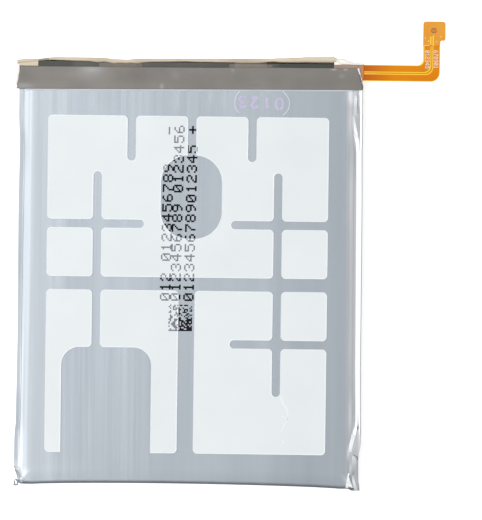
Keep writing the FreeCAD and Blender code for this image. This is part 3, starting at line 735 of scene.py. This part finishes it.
def side_seam(name, rows, side, wall, wall_lean):
    """A folded side seam: its creased upper side from the photo, and a plain outer side."""
    loops = []
    tones = []
    for height, lines, levels, facets in between_rows(rows):
        loop = []
        for px, z in zip(lines, levels):
            x, y = from_photo(px, height, z)
            below = body_level(x, y)
            loop.append((x, y, z if below is None else max(z, below + seam_over_body)))
        outer_x, y, z = loop[-1]
        foot = wall + side * seam_foot_gap + wall_lean * y
        stand = side * min(side * foot + seam_foot_width, side * outer_x + seam_lap * 0.4)
        loop += [
            (outer_x - side * seam_lap * 0.3, y, z - seam_lap),
            (stand + (outer_x - stand) * 0.25, y, max(z - seam_turn, seam_lift * 2)),
            (stand, y, max(z - seam_stand, seam_lift * 1.5)),
            (stand, y, seam_lift),
            (foot, y, seam_lift),
        ]
        loops.append(loop)
        tones += [*facets, seam_side_tone, 0.0, 0.0, 0.0, 0.0, 0.0]
    tones[-len(loops[0]) :] = [0.0, 0.0]
    piece = add_piece(name, tube(loops), ["foil"], tones=tones, domain="FACE")
    set_normals(piece.data)


# Flat top seam
terrace_left = -30.6
terrace_length = 61.2
terrace_low = 35.4
terrace_width = 2.6
terrace_level = 0.64
terrace_thickness = 0.28
terrace_wave = 1.1  # radians to a millimetre across


def terrace():
    """The flat top seam that the tabs pass through, slightly wavy."""
    rows = []
    across = spread(terrace_left, terrace_length, 120)
    for j, y in enumerate(spread(terrace_low, terrace_width, 6)):
        waves = [wave_depth * math.sin(x * terrace_wave) * j / 6 for x in across]
        rows.append([(x, y, terrace_level + wave) for x, wave in zip(across, waves)])
    add_piece("pouch_top_seam", slab(rows, terrace_thickness), ["foil"], smooth=True)


def line(path, half, level, thickness):
    """Points and faces of a flat line along a path, reaching this far to both its sides."""
    rows = []
    for i, (x, y) in enumerate(path):
        before = path[max(i - 1, 0)]
        after = path[min(i + 1, len(path) - 1)]
        run, rise = after[0] - before[0], after[1] - before[1]
        length = math.hypot(run, rise)
        run, rise = run / length, rise / length
        reach = half[i] if isinstance(half, list) else half
        rows.append([(x - rise * r, y + run * r, level) for r in (reach, -reach)])
    return slab(rows, thickness)


def smooth_path(path, steps=6):
    """A soft curve through the points of a path."""

    def curve(a, b, c, d, t):
        start = 2 * b + (c - a) * t + (2 * a - 5 * b + 4 * c - d) * t * t
        return 0.5 * (start + (3 * b - a - 3 * c + d) * t**3)

    made = []
    last = len(path) - 1
    for i in range(last):
        near = path[max(i - 1, 0)], path[i], path[i + 1], path[min(i + 2, last)]
        for k in range(steps):
            made.append(tuple(curve(*values, k / steps) for values in zip(*near)))
    return made + [path[last]]


def photo_path(pixels, level=face_level):
    """A soft curve through pixels of the photo."""
    return smooth_path([from_photo(px, py, level) for px, py in pixels])


# The seam's cut end at the lower left, curled up on edge, and the edge that it stands on
curl_loop = (
    (17.2, 484.4), (14.6, 484.9), (13.8, 482.8), (14.2, 480.6), (15.4, 480), (16.6, 481.4),
    (17.1, 483.8),
)
curl_base = ((12.3, 485.2), (14.6, 485.4), (17.4, 485.2))
curl_level = 3.0
curl_half = 0.07
curl_height = 1.6
curl_base_level = 2.0
curl_base_half = 0.08
curl_base_height = 0.8
# The curl is darkened by its tone: painted shade
curl_tone = -0.35


def corner_curl():
    """The seam's end as a loop of laminate on edge, over a low strip."""
    loop = line(photo_path(curl_loop, curl_level), curl_half, curl_level, curl_height)
    base = photo_path(curl_base, curl_base_level)
    base = line(base, curl_base_half, curl_base_level, curl_base_height)
    points, faces = join([loop, base])
    tones = [curl_tone] * len(points)
    add_piece("pouch_corner_curl", (points, faces), ["foil"], tones=tones)


def adhesive_sheet(name):
    """The CAD sheet with a rim that rounds down at its cut edge, its brighter colour a painted highlight."""
    work = bmesh.new()
    work.from_mesh(cad[name].data)
    bmesh.ops.remove_doubles(work, verts=work.verts, dist=weld_distance)
    top_level = max(v.co.z for v in work.verts)
    bmesh.ops.dissolve_limit(work, angle_limit=0.02, verts=work.verts, edges=work.edges)
    top = [f for f in work.faces if f.normal.z > 0.9]
    outer = {v for f in top for v in f.verts}
    ring = bmesh.ops.inset_region(
        work, faces=top, thickness=rim_width * MM, use_even_offset=True, use_boundary=True
    )["faces"]
    for face in ring:
        face.material_index = 1
    for v in outer:
        v.co.z = top_level - rim_drop * MM
    for v in {v for f in top for v in f.verts}:
        v.co.z = top_level - sheet_drop * MM
    mesh = bpy.data.meshes.new(name + "_film")
    work.to_mesh(mesh)
    work.free()
    mesh.materials.append(looks["sheet"])
    mesh.materials.append(looks["sheet_rim_highlight"])
    piece = new_piece(name + "_film", mesh)
    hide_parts(name)
    return piece


# Grey tape over the sealed end: its ends from the lower edge to the upper, its edges and levels
tape_columns = 220
tape_rows = 26
tape_thickness = 0.07
tape_left_end = ((0, -32.15), (0.12, -32.1), (0.5, -31.8), (1, -31.5))
tape_right_end = ((0, 31.4), (0.1, 31.42), (0.6, 31), (0.9, 30.6), (1, 30.45))
tape_high_edge = 38.26
tape_high_bow = ((-30, -0.08), (0, 0), (16, 0.18), (30, 0.22))
tape_levels = ((34.4, 5.25), (38.3, 4.8))
tape_highest = 5.3
tape_low = 34.24  # its lower edge at x = 0, and how far that edge leans
tape_low_lean = 0.0085
tape_wave = 0.012


def tape_low_edge(x):
    return tape_low + tape_low_lean * x


def grey_tape():
    """The grey tape with its bowed upper edge and the patches of its tone: lighter ones that paint
    highlights, and darker ones.
    """
    rows = []
    for share in spread(0.0, 1.0, tape_rows):
        left = between(tape_left_end, share)
        row = []
        for x in spread(left, between(tape_right_end, share) - left, tape_columns):
            low = tape_low_edge(x)
            y = low + (tape_high_edge + between(tape_high_bow, x) - low) * share
            wave = tape_wave * noise.noise(Vector((x * 0.25, y * 0.6, 1.0)))
            row.append((x, y, min(between(tape_levels, y) + wave, tape_highest)))
        rows.append(row)
    patches = in_mm(tape_patches)
    tones = []
    for row in rows:
        tones += [patch_tone(patches, x, y) for x, y, z in row] + [0.0] * len(row)
    shape = slab(rows, tape_thickness)
    piece = add_piece("grey_end_tape", shape, ["grey_tape"], smooth=True, tones=tones)
    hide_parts("face_tape")


# Clear film beside both ends of the grey tape: its paths in the photo, half widths and levels
right_film = (
    (358.6, 68.4), (359, 70.6), (359.9, 73.4), (360.7, 76.4), (362, 80.2), (362.9, 84),
    (363.3, 88.2),
)
right_film_half = ((0, 0.18), (0.25, 0.13), (0.5, 0.09), (1, 0.07))
right_film_foot = 4.72  # the level at which its path was read
right_film_level = 4.86
right_film_thickness = 0.1
left_film = ((18.6, 64.4), (18.4, 70), (18, 76), (17.4, 81), (17, 85))
left_film_half = 0.24
left_film_level = 4.7
left_film_thickness = 0.06


def tape_ends():
    """The clear film that shows beside the grey tape's two ends."""
    right = photo_path(right_film, right_film_foot)
    halves = [between(right_film_half, share) for share in spread(0.0, 1.0, len(right) - 1)]
    right = line(right, halves, right_film_level, right_film_thickness)
    left = photo_path(left_film, left_film_level)
    left = line(left, left_film_half, left_film_level, left_film_thickness)
    add_print("tape_end_film", [right, left], "clear_film")


# Glue along the grey tape's lower edge
glue_left = -30.4
glue_length = 60.0
glue_width = 0.26
glue_width_change = 0.08
glue_under_tape = 0.1
glue_thickness = 0.03


def glue_line():
    """The tape's glue, squeezed out as a fine bright line along its lower edge."""
    rows = []
    for x in spread(glue_left, glue_length, 160):
        edge = tape_low_edge(x)
        width = glue_width + glue_width_change * noise.noise(Vector((x * 0.3, 2.0, 5.0)))
        inner = (x, edge + glue_under_tape, face_level + 0.02)
        rows.append([inner, (x, edge - width, face_level + 0.005)])
    add_piece("tape_glue_line", slab(rows, glue_thickness), ["glue_edge"])


# Tan tape that wraps round the end: its outer edge (pixels across the photo and millimetres), the
# width of the lip that this edge turns in, and the lip's tone: painted shade along most of it, and
# a slight painted highlight near its right end
tape_edge = (
    (16.6, 39.3), (26, 39.42), (37.3, 39.49), (56.4, 39.83), (87, 39.85), (103.6, 39.8),
    (116, 39.59), (126, 39.53), (138, 39.73), (162, 39.76), (190, 39.83), (210, 39.88),
    (234.8, 39.91), (250, 39.96), (266, 40.02), (282.3, 40.16), (298, 40.3), (308, 40.42),
    (334.5, 40.5), (341, 39.5), (363, 39.43),
)
lip_width = (
    (-31.5, 0.55), (-27.6, 0.32), (-26, 0.4), (-24.6, 0.5), (-20.2, 0.6), (-18.8, 0.64),
    (-17.3, 0.78), (-15.8, 0.64), (-14.4, 0.7), (-12.9, 0.54), (-11.4, 0.56), (-10, 0.8),
    (-8.5, 0.59), (-7, 0.5),
    (-1.2, 0.46), (1.7, 0.56), (7.6, 0.62), (9.1, 0.73), (12, 0.73), (15, 0.52), (16.4, 0.7),
    (19.4, 0.83), (23.8, 0.92), (26, 0.96), (27.2, 0.2),
)
lip_tone = (
    (-24.6, -0.08), (-21.5, 0), (-17, -0.13), (-13.5, -0.05), (-11.4, -0.05),
    (-9.8, -0.18), (-6, -0.06), (-1, -0.12), (4, -0.04), (9.1, -0.24), (12, -0.15), (13.5, -0.06),
    (16.5, 0.03), (26, 0.08),
)
tape_edge_row = 58.0  # the height in the photo that goes with those pixels
tape_left = -32.1
tape_right = 31.6
tape_inner = 36.2
tape_inner_level = 0.32
wall_foot = 39.4
wall_in = 0.08  # the wall's foot keeps this far inside the outer edge
lip_level = 4.7
# Its section: steps from the foot of the wall and from the outer edge, with their levels
foot_section = ((-0.3, 0.32), (0, 0.4), (0.02, 1.5), (0.03, 3.7))
edge_section = ((-0.1, 4.45), (-0.04, 4.7), (-0.12, 4.75), (-0.35, 4.74))
tape_wall = 0.08
tape_sheet = 0.06
# The olive part of the lip is the tan in painted shade; right of pale_part the lip is near white, a painted
# highlight
olive_part = (-28.3, -26.4)
pale_part = 26.4
# Its left end: a flap that leans out, and the fold over the corner
flap_lean = 0.2
flap_low = 0.36
flap_high = (4.56, 4.5)  # on its outer side and its inner
fold_height = 2.97
fold_end = -28.22
fold_level = 4.6
fold_low = 38.25
fold_width = 1.0
# The fold is darkened slightly by its tone: painted shade
fold_tone = -0.05
fold_wave = 0.01


def tan_tape():
    """The tan tape: under the terrace, up as a wall and in as a lip, open to the board."""
    outer_edge = [(from_photo(px, tape_edge_row)[0], y) for px, y in tape_edge]
    loops = []
    tones = []
    used = []
    for x in spread(tape_left, tape_right - tape_left, 240):
        out = between(outer_edge, x)
        foot = min(wall_foot, out - wall_in)
        row = [(x, tape_inner, tape_inner_level)]
        row += [(x, foot + step, z) for step, z in foot_section]
        row += [(x, out + step, z) for step, z in edge_section]
        row.append((x, out - between(lip_width, x), lip_level))
        back = [
            (x, y + (tape_wall if 2 <= k <= 6 else 0.0), z - (tape_sheet if k != 6 else 0.0))
            for k, (x, y, z) in enumerate(row)
        ]
        loops.append(row + back[::-1])
        width = len(loops[0])
        lip = between(lip_tone, x)
        tones += [lip if 5 <= k <= 14 else 0.0 for k in range(width)]
        look = 2 if x > pale_part else 1 if olive_part[0] < x < olive_part[1] else 0
        used += [look if 5 <= k <= 13 else 0 for k in range(width)]
    used[-width:] = [0, 0]
    looks_used = ["tan_tape", "olive_edge", "pale_cover"]
    piece = add_piece("tan_end_tape", tube(loops), looks_used, True, used, tones)
    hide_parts("back_wrap_tape")


def folded_corner():
    """The tan tape folded up the left end and in over the corner."""
    flap = ([], [])
    for share, y in zip(spread(1.0, -1.0, 8), spread(tape_inner, fold_height, 8)):
        x = tape_left + flap_lean * share
        for side, high in zip(flap, flap_high):
            side.append([(x, y, flap_low), (x, y, high)])
            x += tape_sheet
    across = spread(tape_left, fold_end - tape_left, 24)
    across = [(x, fold_level + fold_wave * math.sin(i * 0.31)) for i, x in enumerate(across)]
    fold = [[(x, y, z) for x, z in across] for y in spread(fold_low, fold_width, 8)]
    points, faces = join([shell(*flap), slab(fold, tape_sheet)])
    tones = [fold_tone] * len(points)
    add_piece("tan_corner_fold", (points, faces), ["tan_tape"], tones=tones)


# Cover over the tail: it lies level, and its last two rows run out to an edge
cover_left = 26.15
cover_length = 5.45
cover_low = 36.3
cover_width = 2.82
cover_high = 39.12
cover_edge = ((26.15, 40.3), (27.7, 40.25), (28.9, 39.85), (30, 39.55), (31.6, 39.4))
cover_level = 4.66
cover_flat_rows = 12
bare_tail = 31.0  # from here the tail shows through


def tail_cover():
    """The tape's other end, thin over the tail where it leaves the pack."""
    rows = []
    used = []
    for j in range(cover_flat_rows + 3):
        row = []
        for x in spread(cover_left, cover_length, 44):
            y = min(cover_low + cover_width * j / cover_flat_rows, cover_high)
            if j > cover_flat_rows:
                y += (between(cover_edge, x) - y) * (j - cover_flat_rows) / 2
            row.append((x, y, cover_level))
            used.append(0 if j >= cover_flat_rows else 2 if x > bare_tail else 1)
        rows.append(row)
        used += [0] * len(row)
    points, faces = slab(rows, tape_sheet)
    count = len(used) - 2 * len(row)
    used[count:] = [0] * (len(faces) - count)
    # pale_cover is a painted highlight where the tape bends over the tail's edge
    looks_used = ["pale_cover", "cover", "tail_cover"]
    add_piece("tan_tail_cover", (points, faces), looks_used, True, used)


# Print: plain counting digits in a dot-matrix face, five dots wide and seven rows high
characters = {
    "0": " ### /#   #/#  ##/# # #/##  #/#   #/ ### ",
    "1": "  #  / ##  /  #  /  #  /  #  /  #  / ### ",
    "2": " ### /#   #/    #/  ## / #   /#    /#####",
    "3": " ### /#   #/    #/  ## /    #/#   #/ ### ",
    "4": "   # /  ## / # # /#  # /#####/   # /   # ",
    "5": "#####/#    /#### /    #/    #/#   #/ ### ",
    "6": "  ## / #   /#    /#### /#   #/#   #/ ### ",
    "7": "#####/    #/   # /  #  / #   / #   / #   ",
    "8": " ### /#   #/#   #/ ### /#   #/#   #/ ### ",
    "9": " ### /#   #/#   #/ ####/    #/   # / ##  ",
    "+": "     /  #  /  #  /#####/  #  /  #  /     ",
    "-": "     /     /     /#####/     /     /     ",
}
char_pitch = 1.81
dot_across = 0.28  # along the cell, within a character
dot_up = 0.27  # across the cell
dot_half = 0.165
faint_dot_half = 0.135
mark_dot_half = 0.17  # the bolder plus
ink_height = 0.012
ink_sink = 0.01  # of the ink's foot below the face
ink_under_sheet = 0.1
sheet_finder = 0.02  # in metres, the height from which the sheets are looked for
print_zero = (0.05, 1.1)
print_lean = 0.014  # the rows lean this much against the sheets, from this height down
print_top = 27.0
# Each line: middle across the cell, and its runs of (first character's place down the photo, text)
print_lines = (
    (0.3, ((5.0, "0123456789012345"), (-25.7, "+"))),
    (-2.15, ((5.0, "0123456789"), (-14.9, "0123456"))),
    (-4.0, ((5.0, "012"), (-2.3, "0123456789"), (-25.5, "-"))),
)
# The code block: its corner, columns and rows of dots, their pitch, and how the dots thin out
code_corner = (-3.75, -6.4)
code_columns = 17
code_rows = 19
code_pitch = 0.255
code_dot_half = 0.128
code_fill = 0.15
code_thinning = 0.9


def dots(letter):
    """Row and column of each dot of a character, from its middle."""
    made = []
    for r, row in enumerate(characters[letter].split("/")):
        made += [(r - 3, c - 2) for c, mark in enumerate(row) if mark == "#"]
    return made


def block(cx, cy, half_x, half_y, level):
    """Points and faces of a thin prism of ink."""
    corners = []
    for z in (level, level + ink_height):
        for sx, sy in ((-1, -1), (1, -1), (1, 1), (-1, 1)):
            corners.append((cx + sx * half_x, cy + sy * half_y, z))
    faces = ((3, 2, 1, 0), (4, 5, 6, 7), (0, 1, 5, 4), (1, 2, 6, 5), (2, 3, 7, 6), (3, 0, 4, 7))
    return corners, faces


def cell_print(sheets):
    """The print on the foil, and faint where it lies under a sheet."""
    shapes = []
    for sheet in sheets:
        mesh = sheet.data
        shapes.append(([v.co for v in mesh.vertices], [f.vertices for f in mesh.polygons]))
    finder = BVHTree.FromPolygons(*join(shapes))
    dark = []
    faint = []

    def put(x, y, half):
        hit = finder.ray_cast(Vector((x * MM, y * MM, sheet_finder)), Vector((0, 0, -1)))
        if hit[0] is None:
            dark.append(block(x, y, half, half, face_level - ink_sink))
        else:
            half = min(half, faint_dot_half)
            faint.append(block(x, y, half, half, face_level + ink_under_sheet))

    for across, runs in print_lines:
        for start, text in runs:
            for i, letter in enumerate(text):
                middle = start - i * char_pitch
                for r, c in dots(letter):
                    x = print_zero[0] + across + r * dot_up
                    y = print_zero[1] - (middle - c * dot_across)
                    half = mark_dot_half if letter == "+" else dot_half
                    put(x + print_lean * (y - print_top), y, half)
    last = code_rows - 1
    for i in range(code_columns):
        for j in range(code_rows):
            fill = code_fill - code_thinning * (i / (code_columns - 1)) * (j / last)
            if j == last or noise.cell(Vector((i + 0.5, j + 0.5, 4.0))) > fill:
                x = print_zero[0] + code_corner[0] + code_pitch * (i + 0.5)
                y = print_zero[1] + code_corner[1] - code_pitch * (j + 0.5)
                put(x, y, code_dot_half)
    add_print("cell_print_dark", dark, "ink")
    add_print("cell_print_faint", faint, "faint_ink")


# Stamp: plain counting digits drawn as strokes in a box 1 wide and 1.5 high, and its ring
stamp_strokes = {
    "0": (
        (
            (0.5, 1.5), (0.12, 1.3), (0, 0.75), (0.12, 0.2), (0.5, 0), (0.88, 0.2), (1, 0.75),
            (0.88, 1.3), (0.5, 1.5),
        ),
    ),
    "1": (((0.5, 1.5), (0.5, 0)), ((0.52, 1.46), (0.15, 1.1))),
    "2": (
        ((0.02, 1.12), (0.15, 1.4), (0.55, 1.5), (0.92, 1.3), (0.9, 1), (0.5, 0.5), (0.05, 0.05)),
        ((-0.1, 0.02), (1, 0.02)),
    ),
    "3": (
        ((0.02, 1.3), (0.4, 1.5), (0.82, 1.38), (0.88, 1.05), (0.4, 0.8)),
        ((0.4, 0.8), (0.9, 0.62), (1, 0.32), (0.7, 0.03), (0.3, 0), (0, 0.2)),
    ),
}
# Each digit: its middle in the photo, its width and its height in pixels
stamp_digits = (
    ("3", 243.3, 101.8, 7.2, 10.6), ("2", 254.8, 102.7, 6.4, 10.2),
    ("1", 266.8, 103.2, 6.8, 10.8), ("0", 279.5, 103.9, 7.2, 10.6),
)
stamp_ring = (
    ((241, 90), (237.2, 94.4), (235.2, 100), (235.2, 106), (237, 110.2), (239.4, 113.4)),
    (
        (281.4, 90), (285.4, 93.6), (288.8, 99), (289.7, 104), (288.4, 109.4), (285.8, 112.6),
        (283, 115.2),
    ),
)
stamp_half = 0.215
ring_half = 0.075
line_lift = 0.005  # of print over the face
stroke_lift = 0.003  # of a digit's second stroke over its first
line_thickness = 0.02
stamp_box = 1.5


def stamp():
    """The stamp's digits as bold strokes, and the thin ring round them."""
    shapes = []
    for letter, px, py, width, height in stamp_digits:
        cx, cy = from_photo(px, py)
        for k, stroke in enumerate(stamp_strokes[letter]):
            path = []
            for u, v in stroke:
                x = cx - (u - 0.5) * width / photo_scale
                path.append((x, cy - (v / stamp_box - 0.5) * height / photo_scale))
            level = face_level + line_lift + stroke_lift * k
            shapes.append(line(smooth_path(path, 3), stamp_half, level, line_thickness))
    add_print("cell_stamp", shapes, "stamp")
    level = face_level + line_lift
    ring = [line(photo_path(path), ring_half, level, line_thickness) for path in stamp_ring]
    add_print("cell_stamp_ring", ring, "stamp_ring")


# A slight crease in the lower right sheet: lines in the photo and their half widths
crease_lines = (
    (((280.5, 396), (282.5, 402.9), (286.3, 408.4), (287, 412.5), (288.4, 417.3)), 0.2),
    (((288.4, 417.3), (287, 420.8), (283.6, 425.6), (280.8, 431.8)), 0.12),
    (((280.8, 415.3), (284, 417.4), (287.4, 419.4)), 0.1),
    (((282.8, 440.6), (282.9, 442), (283.2, 443.6)), 0.12),
)
crease_level = face_level + 0.105


def sheet_crease():
    """The crease as pale lines on the sheet."""
    shapes = []
    for pixels, half in crease_lines:
        shapes.append(line(photo_path(pixels), half, crease_level, line_thickness))
    add_print("sheet_crease", shapes, "crease")


# Marks on the tail, in pixels of the photo
film_level = 4.6
pad_level = 4.75
tail_digit_columns = ((427.6, 51.5, "012345"), (436.2, 51.5, "678901"))
tail_digit_pitch = 3.1
tail_dot = (0.62, 0.5)  # pitch of the dots across and along, in pixels
tail_dot_half = 0.064
tail_dot_low = 0.8  # how far down a dot reaches, as a share of its reach across
pad_digit = (434.2, 30.4, "8")
pad_dot = (0.72, 0.95)
pad_dot_halves = (0.09, 0.1)
mark_sink = 0.002
pale_dots = ((425.6, 38), (428.6, 41), (436.8, 41.5), (441, 36.6))
pale_dot_half = 0.13
pad_lines = (((431, 36.4), (430.9, 45.6)), ((433.6, 35.4), (433.5, 45.6)))
pad_line_half = 0.13
pad_edge = ((424.4, 45.3), (433, 45.3))
pad_edge_half = 0.09
pad_line_lift = 0.01


def tail_marks():
    """The digits along the tail, and the digit, dots and lines on its pad."""

    def digit(px, py, letter, pitch, half_x, half_y, level):
        made = []
        for r, c in dots(letter):
            x, y = from_photo(px - r * pitch[0], py + c * pitch[1], level)
            made.append(block(x, y, half_x, half_y, level - mark_sink))
        return made

    blocks = []
    halves = tail_dot_half, tail_dot_half * tail_dot_low
    for px, py, text in tail_digit_columns:
        for i, letter in enumerate(text):
            down = py + i * tail_digit_pitch
            blocks += digit(px, down, letter, tail_dot, *halves, film_level)
    add_print("tail_print", blocks, "white_print")
    places = [from_photo(px, py, pad_level) for px, py in pale_dots]
    level = pad_level - mark_sink
    blocks = [block(x, y, pale_dot_half, pale_dot_half, level) for x, y in places]
    add_print("pad_dots", blocks, "pale_dot")
    blocks = digit(*pad_digit, pad_dot, *pad_dot_halves, pad_level)
    add_print("pad_print", blocks, "brown_print")

    def pad_line(pixels, half):
        path = [from_photo(px, py, pad_level) for px, py in pixels]
        return line(path, half, pad_level + pad_line_lift, line_thickness)

    shapes = [pad_line(pixels, pad_line_half) for pixels in pad_lines]
    add_print("pad_lines", shapes, "film")
    add_print("pad_edge_line", [pad_line(pad_edge, pad_edge_half)], "pale_dot")


# Floor, room, light and camera
floor_color = (0.9, 0.9, 0.9, 1.0)
floor_glow = (0.68, 0.68, 0.68, 1.0)  # brings the floor to white for the camera
room_color = (0.41, 0.415, 0.42, 1.0)
key_place = (-0.45, 0.1, 0.75)
key_size = (0.75, 0.95)
key_power = 7.2


def build_stage():
    """White floor that keeps the pack's shadow and shows as open white to the camera."""
    bpy.ops.mesh.primitive_plane_add(size=4.0, location=(0, 0, 0))
    floor = bpy.context.object
    floor.name = "floor"
    look, tree, shader = new_look("floor", 0.9)
    shader.inputs["Base Color"].default_value = floor_color
    path = add_node(tree, "ShaderNodeLightPath")
    seen = path.outputs["Is Camera Ray"]
    glow = add_node(tree, "ShaderNodeEmission", Strength=seen, Color=floor_glow)
    both = add_node(tree, "ShaderNodeAddShader", _0=shader.outputs[0], _1=glow.outputs[0])
    tree.links.new(both.outputs[0], tree.nodes["Material Output"].inputs["Surface"])
    floor.data.materials.append(look)


def build_light():
    """A pale room that shows as white to the camera, and one broad light over the pack."""
    world = bpy.data.worlds.new("room")
    bpy.context.scene.world = world
    world.use_nodes = True
    tree = world.node_tree
    path = add_node(tree, "ShaderNodeLightPath")
    shade = mix(tree, path.outputs["Is Camera Ray"], room_color, (1.0, 1.0, 1.0, 1.0))
    tree.links.new(shade, tree.nodes["Background"].inputs["Color"])
    light = bpy.data.lights.new("key", "AREA")
    light.shape = "RECTANGLE"
    light.size, light.size_y = key_size
    light.energy = key_power
    lamp = new_object("key", light)
    lamp.location = key_place
    lamp.rotation_mode = "QUATERNION"
    lamp.rotation_quaternion = (-Vector(key_place)).to_track_quat("-Z", "Y")


def build_camera():
    """The camera straight above the face, turned as in the photo."""
    data = bpy.data.cameras.new("camera")
    data.sensor_width = sensor
    data.lens = sensor * camera_distance / view_height
    data.clip_start = 0.05
    data.clip_end = 10.0
    camera = new_object("camera", data)
    place = (*view_centre, camera_distance + face_level)
    camera.location = [value * MM for value in place]
    camera.rotation_euler = (0.0, 0.0, view_turn)
    bpy.context.scene.camera = camera


pouch_body()
side_seam("pouch_right_seam", full_rows(right_seam, right_seam_start), 1, body_right, right_lean)
side_seam("pouch_left_seam", full_rows(left_seam, left_seam_start), -1, body_left, left_lean)
terrace()
corner_curl()
film_sheets = [adhesive_sheet(name) for name in cad if name.startswith("adhesive_")]
grey_tape()
tape_ends()
glue_line()
tan_tape()
folded_corner()
tail_cover()
cell_print(film_sheets)
stamp()
sheet_crease()
tail_marks()
build_stage()
build_light()
build_camera()
bpy.context.scene.view_settings.view_transform = "Standard"
